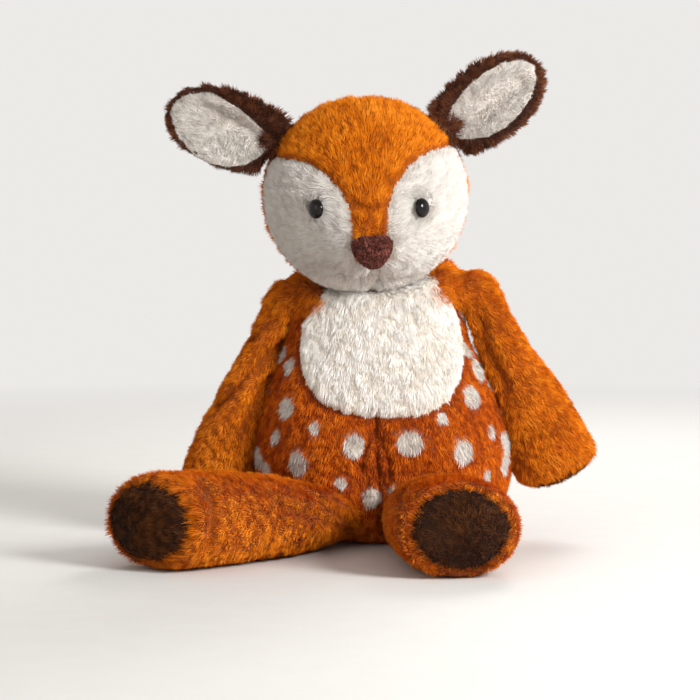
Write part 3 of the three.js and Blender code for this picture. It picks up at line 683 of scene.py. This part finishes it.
# %% The planting nodes
CLUMPS_PER_METRE, SPECKS_PER_METRE = 240.0, 330.0
# shares of a tuft's tone: the stored shade, its own luck, and painted shade in the partings
SHADE_PART, LUCK_PART = 0.3, 0.3
PARTING_SHADE_PART = 0.999 - SHADE_PART - LUCK_PART  # a sum of 1 would step past the last tone
PLANTING_INPUTS = {
    "Geometry": ["Geometry"],
    "Object": ["Tuft"],
    "Float": ["Density", "Length", "Width", "Lean", "Clump", "Ruffle", "Softness"],
    "Int": ["Tones", "Seed"],
}


def add(tree, kind, sockets=None, **settings):
    """Places a node, sets it up and joins or fills its sockets."""
    made = tree.nodes.new(kind)
    for name, value in settings.items():
        setattr(made, name, value)
    for key, value in (sockets or {}).items():
        if isinstance(value, bpy.types.NodeSocket):
            tree.links.new(value, made.inputs[key])
        else:
            made.inputs[key].default_value = value
    return made


def named(tree, name, kind="FLOAT"):
    return add(tree, "GeometryNodeInputNamedAttribute", {0: name}, data_type=kind).outputs[0]


def sum_of(tree, a, b, operation="ADD"):
    return add(tree, "ShaderNodeMath", {0: a, 1: b}, operation=operation).outputs[0]


def scaled(tree, vector, factor):
    made = add(tree, "ShaderNodeVectorMath", {0: vector, "Scale": factor}, operation="SCALE")
    return made.outputs[0]


def vector_sum(tree, a, b, operation="ADD"):
    return add(tree, "ShaderNodeVectorMath", {0: a, 1: b}, operation=operation).outputs[0]


def planting_nodes():
    tree = bpy.data.node_groups.new("planting", "GeometryNodeTree")
    for kind, titles in PLANTING_INPUTS.items():
        for title in titles:
            tree.interface.new_socket(title, in_out="INPUT", socket_type=f"NodeSocket{kind}")
    tree.interface.new_socket("Geometry", in_out="OUTPUT", socket_type="NodeSocketGeometry")
    given = tree.nodes.new("NodeGroupInput").outputs
    result = tree.nodes.new("NodeGroupOutput")
    scatter = add(tree, "GeometryNodeDistributePointsOnFaces",
                  {0: given["Geometry"], "Density": given["Density"], "Seed": given["Seed"]})
    place = tree.nodes.new("GeometryNodeInputPosition").outputs[0]

    # Which way a tuft points: the lay, the cloth's normal, its clump's swirl and its own whim.
    swirl = add(tree, "ShaderNodeTexNoise",
                {"Vector": place, "Scale": CLUMPS_PER_METRE, "Detail": 1.0}).outputs["Color"]
    swirl = vector_sum(tree, swirl, (0.5, 0.5, 0.5), "SUBTRACT")
    stir = add(tree, "FunctionNodeRandomValue",
               {0: (-1, -1, -1), 1: (1, 1, 1), "Seed": 3}, data_type="FLOAT_VECTOR").outputs[0]
    along = scaled(tree, named(tree, "lay", "FLOAT_VECTOR"), given["Lean"])
    upright = sum_of(tree, 1.0, given["Lean"], "SUBTRACT")
    stand = scaled(tree, scatter.outputs["Normal"], upright)
    aim = vector_sum(tree, vector_sum(tree, along, stand), scaled(tree, swirl, given["Clump"]))
    aim = vector_sum(tree, aim, scaled(tree, stir, given["Ruffle"]))
    turn = add(tree, "FunctionNodeAlignRotationToVector", {"Vector": aim}, axis="Z")

    # How long and wide it is. Between the clumps the pile parts and is shorter.
    parting = add(tree, "ShaderNodeTexNoise",
                  {"Vector": place, "Scale": SPECKS_PER_METRE, "Detail": 0.0}).outputs["Fac"]
    full = add(tree, "ShaderNodeMapRange", {0: parting, 1: 0.3, 2: 0.6, 3: 0.55, 4: 1.0}).outputs[0]
    size = add(tree, "FunctionNodeRandomValue", {2: 0.75, 3: 1.12, "Seed": 5}).outputs[1]
    length = sum_of(tree, given["Length"], named(tree, "long"), "MULTIPLY")
    length = sum_of(tree, sum_of(tree, length, size, "MULTIPLY"), full, "MULTIPLY")
    width = sum_of(tree, given["Width"], size, "MULTIPLY")
    scale = add(tree, "ShaderNodeCombineXYZ", {0: width, 1: width, 2: length})
    tufts = add(tree, "GeometryNodeObjectInfo", {"Object": given["Tuft"], "As Instance": True})
    plant = add(tree, "GeometryNodeInstanceOnPoints",
                {"Points": scatter.outputs["Points"], "Instance": tufts.outputs["Geometry"],
                 "Rotation": turn.outputs[0], "Scale": scale.outputs[0]})

    # Which tone of the dye it takes: varied at random, darker in the partings and along seams as
    # painted shade, and pale on a spot.
    luck = add(tree, "FunctionNodeRandomValue", {2: 0.0, 3: 1.0, "Seed": 7}).outputs[1]
    # painted shade: the deeper a tuft stands in a parting, the darker its tone
    depth = add(tree, "ShaderNodeMapRange", {0: parting, 1: 0.3, 2: 0.66, 3: 0.0, 4: 1.0}).outputs[0]
    blended = sum_of(tree, named(tree, "shade"), SHADE_PART, "MULTIPLY")
    blended = sum_of(tree, blended, sum_of(tree, luck, LUCK_PART, "MULTIPLY"))
    blended = sum_of(tree, blended, sum_of(tree, depth, PARTING_SHADE_PART, "MULTIPLY"))
    blended = sum_of(tree, blended, 0.0, "MAXIMUM")
    step = sum_of(tree, sum_of(tree, blended, given["Tones"], "MULTIPLY"), 0.0, "FLOOR")
    mottle = sum_of(tree, sum_of(tree, luck, 0.5, "SUBTRACT"), 0.6, "MULTIPLY")
    pale = sum_of(tree, sum_of(tree, named(tree, "spot"), mottle), 0.5, "GREATER_THAN")
    tone = sum_of(tree, step, sum_of(tree, pale, given["Tones"], "MULTIPLY"))

    # Tone and cloth normal travel with each tuft, and set its material and its shading.
    marked = add(tree, "GeometryNodeStoreNamedAttribute",
                 {0: plant.outputs[0], "Name": "tone", "Value": tone},
                 data_type="FLOAT", domain="INSTANCE")
    grounded = add(tree, "GeometryNodeStoreNamedAttribute",
                   {0: marked.outputs[0], "Name": "ground", "Value": scatter.outputs["Normal"]},
                   data_type="FLOAT_VECTOR", domain="INSTANCE")
    real = add(tree, "GeometryNodeRealizeInstances", {0: grounded.outputs[0]})
    painted = add(tree, "GeometryNodeSetMaterialIndex",
                  {0: real.outputs[0], "Material Index": named(tree, "tone")})
    own = scaled(tree, tree.nodes.new("GeometryNodeInputNormal").outputs[0],
                 sum_of(tree, 1.0, given["Softness"], "SUBTRACT"))
    below = scaled(tree, named(tree, "ground", "FLOAT_VECTOR"), given["Softness"])
    soft = add(tree, "GeometryNodeSetMeshNormal", {0: painted.outputs[0]}, mode="FREE")
    tree.links.new(vector_sum(tree, own, below), [s for s in soft.inputs if s.type == "VECTOR"][0])
    tree.links.new(soft.outputs[0], result.inputs[0])
    return tree


planting = planting_nodes()
PLANTING_KEYS = {s.name: s.identifier for s in planting.interface.items_tree if s.in_out == "INPUT"}
print("planting nodes:", len(planting.nodes))

# %% [markdown]
# ## Cloth and fibre finishes
# The cloth under the pile has a mottled colour, a fine knit bump and a sheen. The fibres come in a
# few close tones of the same dye, which vary at random from tuft to tuft and also carry painted
# shade, darker in the partings and along seams and folds. Each tone is a plain colour with a soft
# sheen.


# %% Materials for cloth and fibre
def srgb(code):
    """A colour written as six hex digits, in the linear numbers that shaders take."""
    parts = [int(code[i:i + 2], 16) / 255 for i in (0, 2, 4)]
    return (*[c / 12.92 if c <= 0.04045 else ((c + 0.055) / 1.055) ** 2.4 for c in parts], 1)


def new_material(name):
    made = bpy.data.materials.new(name)
    made.use_nodes = True
    shader = made.node_tree.nodes["Principled BSDF"]
    return made, made.node_tree, shader


def object_place(tree):
    return add(tree, "ShaderNodeTexCoord").outputs["Object"]


def mixed(tree, share, first, second):
    return add(tree, "ShaderNodeMix", {0: share, 6: first, 7: second}, data_type="RGBA").outputs[2]


def two_tones(name, dark, light, settings, rough, bump=None, kind="ShaderNodeTexNoise"):
    """A finish in two close tones, which a pattern mixes. The pattern may also raise the surface."""
    made, tree, shader = new_material(name)
    pattern = add(tree, kind, {"Vector": object_place(tree), **settings}).outputs["Fac"]
    tree.links.new(mixed(tree, pattern, srgb(dark), srgb(light)), shader.inputs["Base Color"])
    if bump:
        lift = add(tree, "ShaderNodeBump", {"Height": pattern, "Distance": bump})
        tree.links.new(lift.outputs[0], shader.inputs["Normal"])
    shader.inputs["Roughness"].default_value = rough
    return made, tree, shader


LEAST_ROUGH, MOST_ROUGH = 0.75, 0.95
FIBRE_GRAIN, KNIT_PER_METRE = 900.0, 1260.0


def fibre_material(name, colour):
    """One tone of dyed fibre: a plain colour, a soft sheen and a little grain in its gloss."""
    made, tree, shader = new_material(name)
    for socket, value in (("Base Color", srgb(colour)), ("Sheen Weight", 0.07),
                          ("Sheen Roughness", 0.45), ("Specular IOR Level", 0.1)):
        shader.inputs[socket].default_value = value
    grain = add(tree, "ShaderNodeTexNoise", {"Vector": object_place(tree), "Scale": FIBRE_GRAIN})
    level = add(tree, "ShaderNodeMapRange",
                {"Value": grain.outputs["Fac"], "To Min": LEAST_ROUGH, "To Max": MOST_ROUGH})
    tree.links.new(level.outputs[0], shader.inputs["Roughness"])
    return made


def cloth_material(name, dark, light, spot=None):
    """Knit backing under the pile: two close tones in soft patches, with a fine bump."""
    made, tree, shader = new_material(name)
    place = object_place(tree)
    patch = add(tree, "ShaderNodeTexNoise",
                {"Vector": place, "Scale": KNIT_PER_METRE / 9, "Detail": 4.0})
    colour = mixed(tree, patch.outputs["Fac"], srgb(dark), srgb(light))
    if spot:
        where = add(tree, "ShaderNodeAttribute", attribute_name="spot")
        colour = mixed(tree, where.outputs["Fac"], colour, srgb(spot))
    tree.links.new(colour, shader.inputs["Base Color"])
    knit = add(tree, "ShaderNodeTexVoronoi", {"Vector": place, "Scale": KNIT_PER_METRE})
    bump = add(tree, "ShaderNodeBump", {"Height": knit.outputs["Distance"], "Strength": 0.5,
                                        "Distance": 0.0004})
    tree.links.new(bump.outputs[0], shader.inputs["Normal"])
    for socket, value in (("Roughness", 0.9), ("Sheen Weight", 0.3), ("Specular IOR Level", 0.2)):
        shader.inputs[socket].default_value = value
    return made


DYES = {
    # cloth dark, cloth light, then the fibres' tones from dark to light
    "rust": ("742e07", "963f0b", ["9b3f07", "bf540a", "d86a10", "ea8420"]),
    "orange": ("823c04", "a8540a", ["ad5405", "cd6b0b", "e38112", "f29828"]),
    "white": ("d0c9c1", "ded8d1", ["cac1b8", "d8d1ca", "e1dcd6", "e8e4e0"]),
    "cream": ("efe8dd", "f5efe6", ["f0e8dc", "f8f2e9", "fdf9f3", "fffdfa"]),
    "brown": ("3a1c0f", "4c2717", ["462513", "5b311c", "724128", "8a5438"]),
    "pad": ("2e180a", "3f220f", ["40220f", "522c12", "643918", "774620"]),
    "nose": ("35170f", "45201a", ["33160f", "4a241d", "63342b", "7c463b"]),
}
fibres = {
    dye: [fibre_material(f"{dye}_fibre_{i}", code) for i, code in enumerate(tones)]
    for dye, (_, _, tones) in DYES.items()
}
cloths = {
    dye: cloth_material(f"{dye}_cloth", dark, light, "e6dccd" if dye == "rust" else None)
    for dye, (dark, light, _) in DYES.items()
}
print(len(fibres), "dyes of fibre,", len(cloths), "cloths")

# %% [markdown]
# ## Dressing the panels
# Each panel is a closed piece of cloth with its own thickness, and its pile is a second piece that
# rides with it. The pile is long and shaggy on the bib, short and upright on the pads, and close
# and soft elsewhere.

# %% Kinds of pile
CLOTH_THICKNESS = 1.1 * MM
CLOTH_FACES_KEPT = 0.4
# dye, slot, tufts per square mm, length mm, width mm, lean, clump, ruffle, softness
SHORT = (2.6, 3.4, 0.5, 0.62, 0.85, 0.18, 0.8)
SHORT_ORANGE = ("orange", "orange_plush", *SHORT)
KINDS = {
    "body_skin": ("rust", "spotted_plush", 2.5, 3.4, 0.5, 0.62, 0.85, 0.18, 0.8),
    "chest_bib": ("cream", "bib_plush", 3.6, 4.2, 0.6, 0.68, 0.75, 0.14, 0.97),
    "crown_panel": SHORT_ORANGE,
    "cheek": ("white", "white_plush", 3.4, 3.1, 0.46, 0.64, 0.55, 0.13, 0.92),
    "head_back": ("orange", "orange_plush", 2.4, 4.0, 0.52, 0.52, 0.85, 0.18, 0.8),
    "ear_back": ("brown", "brown_plush", 3.4, 3.4, 0.48, 0.5, 0.9, 0.2, 0.65),
    "ear_lining": ("white", "white_plush", 3.4, 3.2, 0.48, 0.55, 1.2, 0.22, 0.78),
    "arm_skin": SHORT_ORANGE,
    "paw_pad": ("pad", "pad_plush", 3.2, 2.2, 0.45, 0.4, 0.9, 0.25, 0.6),
    "leg_skin": SHORT_ORANGE,
    "sole_pad": ("pad", "pad_plush", 3.6, 2.2, 0.42, 0.45, 1.0, 0.25, 0.6),
    "tail_top": SHORT_ORANGE,
    "tail_under": ("white", "white_plush", *SHORT),
}
NOSE_TERRY = ("nose", "nose_terry", 1.15, 1.75, 1.5, 0.0, 0.0, 0.6, 0.1)
NECK_PILE = ("rust", "orange_plush", 2.4, 3.4, 0.5, 0.5, 0.8, 0.2, 0.8)


def kind_of(panel):
    return KINDS[panel if panel in KINDS else panel.rsplit("_", 1)[0]]


def panel_sheet(name, part, label, keep=None):
    """The open outer surface of one panel, cut out of its bag with its pile directions."""
    source = bags[part].data
    shape = bmesh.new()
    shape.from_mesh(source)
    shape.faces.ensure_lookup_table()
    others = [f for f, l in zip(shape.faces, face_labels[part])
              if l != label or (keep and not keep(f.calc_center_median()))]
    bmesh.ops.delete(shape, geom=others, context="FACES")
    mesh = mesh_of(name, shape)
    shade_smooth(mesh)
    return new_object(name, mesh)


def plant(piece, sort, kind, seed):
    """Turns a panel's sheet into its pile."""
    dye, _, density, length, width, lean, clump, ruffle, softness = kind
    planted = piece.modifiers.new("planting", "NODES")
    planted.node_group = planting
    values = {"Tuft": sort, "Density": density / MM ** 2, "Length": length * MM, "Width": width * MM,
              "Lean": lean, "Clump": clump, "Ruffle": ruffle, "Softness": softness,
              "Tones": len(fibres[dye]), "Seed": seed}
    for title, value in values.items():
        planted[PLANTING_KEYS[title]] = value
    apply_modifiers(piece)
    points = points_of(piece.data).copy()
    points[:, 2] = np.maximum(points[:, 2], LOWEST_TIP)
    put_points(piece.data, points)
    tones = np.empty(len(piece.data.polygons), np.int32)
    piece.data.polygons.foreach_get("material_index", tones)
    piece.data.materials.clear()
    for fibre in fibres[dye] + (fibres["white"] if dye == "rust" else []):
        piece.data.materials.append(fibre)
    piece.data.polygons.foreach_set("material_index", tones)
    for extra in ("lay", "long", "shade", "spot", "seam", "tone", "ground"):
        if extra in piece.data.attributes:
            piece.data.attributes.remove(piece.data.attributes[extra])


def thicken(cloth, kind):
    """Gives a sheet the thickness and the look of its dyed cloth."""
    wall = cloth.modifiers.new("thickness", "SOLIDIFY")
    wall.thickness, wall.offset = CLOTH_THICKNESS, -1
    apply_modifiers(cloth)
    wear(cloth, cloths[kind[0]])


def dress(part, label, panel, seed):
    """The cloth and the pile of one panel. Returns how many faces its pile has."""
    body = PANELS[part][0]
    kind = kind_of(panel)
    cloth = panel_sheet(f"{panel}_cloth", part, label)
    cloth.modifiers.new("lighter", "DECIMATE").ratio = CLOTH_FACES_KEPT
    thicken(cloth, kind)
    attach(cloth, body)
    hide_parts(panel)
    fields = {"": None}
    if panel == "body_skin":
        fields = {"_front": lambda c: c.y < 0, "_back_left": lambda c: c.y >= 0 and c.x >= 0,
                  "_back_right": lambda c: c.y >= 0 and c.x < 0}
    total = 0
    for end, keep in fields.items():
        pile = panel_sheet(f"{panel}_pile{end}", part, label, keep)
        plant(pile, tuft, kind, seed)
        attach(pile, body)
        total += len(pile.data.polygons)
        seed += 1
    print(f"{panel}: cloth {len(cloth.data.polygons)} faces, pile {total} faces")
    return total


seed = 1
pile_faces = 0
for part, (_, panels, _) in PANELS.items():
    for label, panel in enumerate(panels):
        pile_faces += dress(part, label, panel, seed)
        seed += 10
for made in bags.values():
    bpy.data.objects.remove(made)
print("faces of pile in all:", pile_faces)

# %% [markdown]
# ## Shoulders and ear roots
# A limb or an ear is sewn into its neighbour, and the cloth runs on over the seam. A skin over
# both, smoothed until it fills the crease, covers the seam.

# %% Skins over the sewn joints
# body parts that it joins, panel whose pile it has, then in mm: reach, shift of its middle
# outwards, voxel, rise in the middle, sink at the rim, where the bending starts and ends, how far
# it goes below the joint; smoothing rounds
SEWN_JOINTS = {}
for side in ("left", "right"):
    SEWN_JOINTS[f"shoulder_{side}"] = (
        "body", f"arm_{side}", "arm_skin", (28, -2, 2.6, 2.2, 2.6, -7, 12, 14), 24)
    SEWN_JOINTS[f"ear_root_{side}"] = (
        "head", f"ear_{side}", "ear_back", (10.5, 0, 1.7, 0.8, 1.8, -3, 7, 20), 12)
SHOULDER_SLOPE = -0.3
ROOM_ROUND_SEAM = 1.8


def joint_skin(name, near_part, far_part, middle, sizes, rounds):
    """The even skin over two body parts near a seam, with the crease between them filled."""
    reach, _, voxel, rise, sink, _, _, below = (size * MM for size in sizes)
    members = [node for part in (near_part, far_part) for group in PANELS[part][1:] for node in group]
    made, shape = even_form(name, members, voxel, rounds,
                            lambda place: (place - middle).length <= ROOM_ROUND_SEAM * reach)
    for point in shape.verts:
        from_middle = point.co - middle
        out = min(1, max(from_middle.length / reach, -from_middle.z / below)) ** 2
        point.co += point.normal * (rise * (1 - out) - sink * out)
    keep_where(shape, lambda place: (place - middle).length <= reach and place.z >= middle.z - below)
    largest_island(shape)
    put_back(made, shape)
    refine(made)
    shade_smooth(made.data)
    return made


for name, (near_part, far_part, panel, sizes, rounds) in SEWN_JOINTS.items():
    reach, shift, _, _, _, start, end, _ = (size * MM for size in sizes)
    pivot = JOINT_POINT[far_part]
    low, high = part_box(PANELS[far_part][1][0])
    along = ((low + high) / 2 - pivot).normalized()
    if near_part == "body":
        along = Vector((math.copysign(1, along.x), 0, SHOULDER_SLOPE)).normalized()
    cloth = joint_skin(name, near_part, far_part, pivot + along * shift, sizes, rounds)
    store(cloth.data, "seam", np.zeros(len(cloth.data.vertices)))
    lay_pile(far_part, cloth, fan=0)
    pile = new_object(f"{name}_pile", cloth.data.copy())
    kind = KINDS[panel]
    plant(pile, tuft, kind, 500 + len(name))
    thicken(cloth, kind)
    cloth.name = f"{name}_cloth"
    for piece in (cloth, pile):
        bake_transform(piece)
    print(pile.name, len(pile.data.polygons), "faces")

# %% [markdown]
# ## Nose and eyes
# The nose is a small pad of terry, so its surface is a crowd of round loops. The eyes are plastic
# domes: they need a smooth, glossy surface, because all they show is the light.


# %% The smooth form of a small CAD node
def smooth_form(name, node, voxel, rounds, inset=0.0):
    made, shape = even_form(name, [node], voxel, rounds)
    for point in shape.verts:
        point.co -= point.normal * inset
    put_back(made, shape)
    shade_smooth(made.data)
    return made


def plain_pile(mesh, lay, shade):
    """Directions for a pile that is the same all over."""
    count = len(mesh.vertices)
    store(mesh, "lay", np.broadcast_to(lay, (count, 3)))
    for title, value in (("long", 1.0), ("shade", shade), ("spot", 0.0)):
        store(mesh, title, np.full(count, value))


# %% The nose
nose = smooth_form("nose_cloth", "nose_pad", 0.9 * MM, 3, 0.5 * MM)
nose.data.materials.append(cloths["nose"])
loops = new_object("nose_loops", nose.data.copy())
plain_pile(loops.data, (0, 0, 0), 0.5)
plant(loops, nub, NOSE_TERRY, 900)
for piece in (nose, loops):
    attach(piece, "head")
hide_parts("nose_pad")
print("nose loops:", len(loops.data.polygons), "faces")

# %% The eyes
eye_gloss, _, eye_shader = two_tones("eye_gloss", "0b0908", "15110f", {"Scale": 300.0}, 0.1)
eye_shader.inputs["Specular IOR Level"].default_value = 0.3
for side in ("left", "right"):
    eye = smooth_form(f"eye_dome_{side}", f"eye_{side}", 0.45 * MM, 6)
    eye.data.materials.append(eye_gloss)
    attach(eye, "head")
    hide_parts(f"eye_{side}")
    print(f"eye_dome_{side}:", len(eye.data.polygons), "faces")

# %% [markdown]
# ## What is inside
# The filling is loose fibre in lumps, and a cloth bag of granules weights the seat. They don't
# show, but a part that is opened up should hold them, so each is a form of its own.


# %% The filling and the bag of granules
fibre_filling = two_tones(
    "fibre_filling", "d9d7d2", "f6f5f3", {"Scale": 260.0, "Detail": 6.0}, 0.95, 0.001)[0]
granule_cloth = two_tones(
    "granule_cloth", "cfccc2", "e6e3da", {"Scale": 700.0, "Detail": 6.0}, 0.95, 0.001)[0]
FILLING_LUMP, GRANULE = 7 * MM, 3.2 * MM
FILLING_INSET = 4 * MM  # clear of the deepest fold


def lumpy(node, material, lump, depth, body):
    made = smooth_form(f"{node}_form", node, 4 * MM, 1, FILLING_INSET)
    points, normals = points_of(made.data).copy(), normals_of(made.data)
    heights = np.array([noise.noise(Vector(p) / lump) for p in points])
    put_points(made.data, points - normals * (depth * (0.5 + 0.5 * heights))[:, None])
    made.data.materials.append(material)
    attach(made, body)
    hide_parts(node)


for body, _, fillings in PANELS.values():
    for node in fillings:
        if node == "pellet_bag":
            lumpy(node, granule_cloth, GRANULE, 0.6 * MM, body)
        else:
            lumpy(node, fibre_filling, FILLING_LUMP, 1.2 * MM, body)
        print(node, "filled")

# %% [markdown]
# ## The parts that stay as they are
# The ring of tape in the neck seam and the washers behind the eyes have their right shape in the
# CAD, so they only get a finish. Some pile stands on the tape, so that it doesn't show where the
# head tips back.

# %% Neck tape and eye washers
tape = two_tones("woven_tape", "8a451a", "a3561f", {"Scale": 500.0}, 0.85, 0.0003,
                 "ShaderNodeTexWave")[0]
nylon = two_tones("washer_nylon", "dedcd8", "efeeeb", {"Scale": 1200.0}, 0.45)[0]
wear(nodes["neck_ring"], tape)
for side in ("left", "right"):
    wear(nodes[f"eye_washer_{side}"], nylon)
neck_sheet = smooth_form("neck_pile", "neck_ring", 1.6 * MM, 2, 0.4 * MM)
ring_points = points_of(neck_sheet.data)
outwards = unit((ring_points - ring_points.mean(axis=0)) * np.array((1, 1, 0)))
plain_pile(neck_sheet.data, outwards, 0.3)
plant(neck_sheet, tuft, NECK_PILE, 700)
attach(neck_sheet, "neck")
print("neck pile:", len(neck_sheet.data.polygons), "faces")

# %% [markdown]
# ## Floor and light
# A pale sweep stands in for the room. The main soft light comes from the right of the picture, as
# in the photograph, so the left of the face falls into gentle shade, and a broad fill keeps the
# dyes readable.

# %% The floor
FLOOR_RADIUS, WALL_RADIUS, WALL_HEIGHT = 1.9, 0.5, 1.6
FADE_START, FADE_END = 0.3, 0.95
SWEEP_STEPS, TURN_STEPS = 10, 96


def sweep_floor():
    """A round floor that curves up into a wall: its profile, spun once round the toy."""
    shape = bmesh.new()
    profile = [shape.verts.new((0, 0, 0)), shape.verts.new((FLOOR_RADIUS, 0, 0))]
    for step in range(1, SWEEP_STEPS + 1):
        angle = math.pi / 2 * step / SWEEP_STEPS
        profile.append(shape.verts.new((FLOOR_RADIUS + WALL_RADIUS * math.sin(angle), 0,
                                        WALL_RADIUS * (1 - math.cos(angle)))))
    profile.append(shape.verts.new((FLOOR_RADIUS + WALL_RADIUS, 0, WALL_HEIGHT)))
    edges = [shape.edges.new(pair) for pair in zip(profile, profile[1:])]
    bmesh.ops.spin(shape, geom=profile + edges, cent=(0, 0, 0), axis=(0, 0, 1),
                   angle=2 * math.pi, steps=TURN_STEPS, use_merge=True)
    bmesh.ops.remove_doubles(shape, verts=shape.verts, dist=0.01 * MM)
    bmesh.ops.recalc_face_normals(shape, faces=shape.faces)
    bmesh.ops.reverse_faces(shape, faces=shape.faces)
    mesh = mesh_of("floor", shape)
    shade_smooth(mesh)
    return new_object("floor", mesh)


floor = sweep_floor()
paper, paper_tree, paper_shader = two_tones("pale_paper", "e0deda", "e6e4e0", {"Scale": 60.0}, 0.9)

# Far from the toy the paper shows an even pale tone, to the camera and in what reflects it.
out_from_toy = add(paper_tree, "ShaderNodeVectorMath", {0: object_place(paper_tree)},
                   operation="LENGTH").outputs["Value"]
far = add(paper_tree, "ShaderNodeMapRange", {0: out_from_toy, 1: FADE_START, 2: FADE_END}).outputs[0]
rays = paper_tree.nodes.new("ShaderNodeLightPath").outputs
seen = sum_of(paper_tree, rays["Is Camera Ray"], rays["Is Glossy Ray"], "MAXIMUM")
seen = sum_of(paper_tree, seen, rays["Is Transmission Ray"], "MAXIMUM")
even = add(paper_tree, "ShaderNodeEmission", {"Color": srgb("eceae7"), "Strength": 1.0})
blend = add(paper_tree, "ShaderNodeMixShader", {0: sum_of(paper_tree, far, seen, "MULTIPLY")})
paper_tree.links.new(paper_shader.outputs[0], blend.inputs[1])
paper_tree.links.new(even.outputs[0], blend.inputs[2])
paper_tree.links.new(blend.outputs[0], paper_tree.nodes["Material Output"].inputs[0])
wear(floor, paper)

# %% The lights
# name: place in mm, size in mm, watts
LIGHTS = {
    "key": ((740, -680, 540), 400, 13.8),
    "fill": ((-700, -800, 420), 700, 0.9),
    "rim": ((250, 650, 620), 420, 4.0),
}
for name, (spot, width, watts) in LIGHTS.items():
    lamp = bpy.data.lights.new(name, "AREA")
    lamp.shape, lamp.size, lamp.energy = "DISK", width * MM, watts
    held = bpy.data.objects.new(name, lamp)
    scene.collection.objects.link(held)
    held.location = Vector(spot) * MM
    held.rotation_euler = (CAMERA_AIM - held.location).to_track_quat("-Z", "Y").to_euler()

world = bpy.data.worlds.new("studio")
scene.world = world
world.use_nodes = True
world.node_tree.nodes["Background"].inputs["Color"].default_value = (1.0, 0.96, 0.92, 1)
world.node_tree.nodes["Background"].inputs["Strength"].default_value = 0.45
scene.view_settings.view_transform = "Standard"
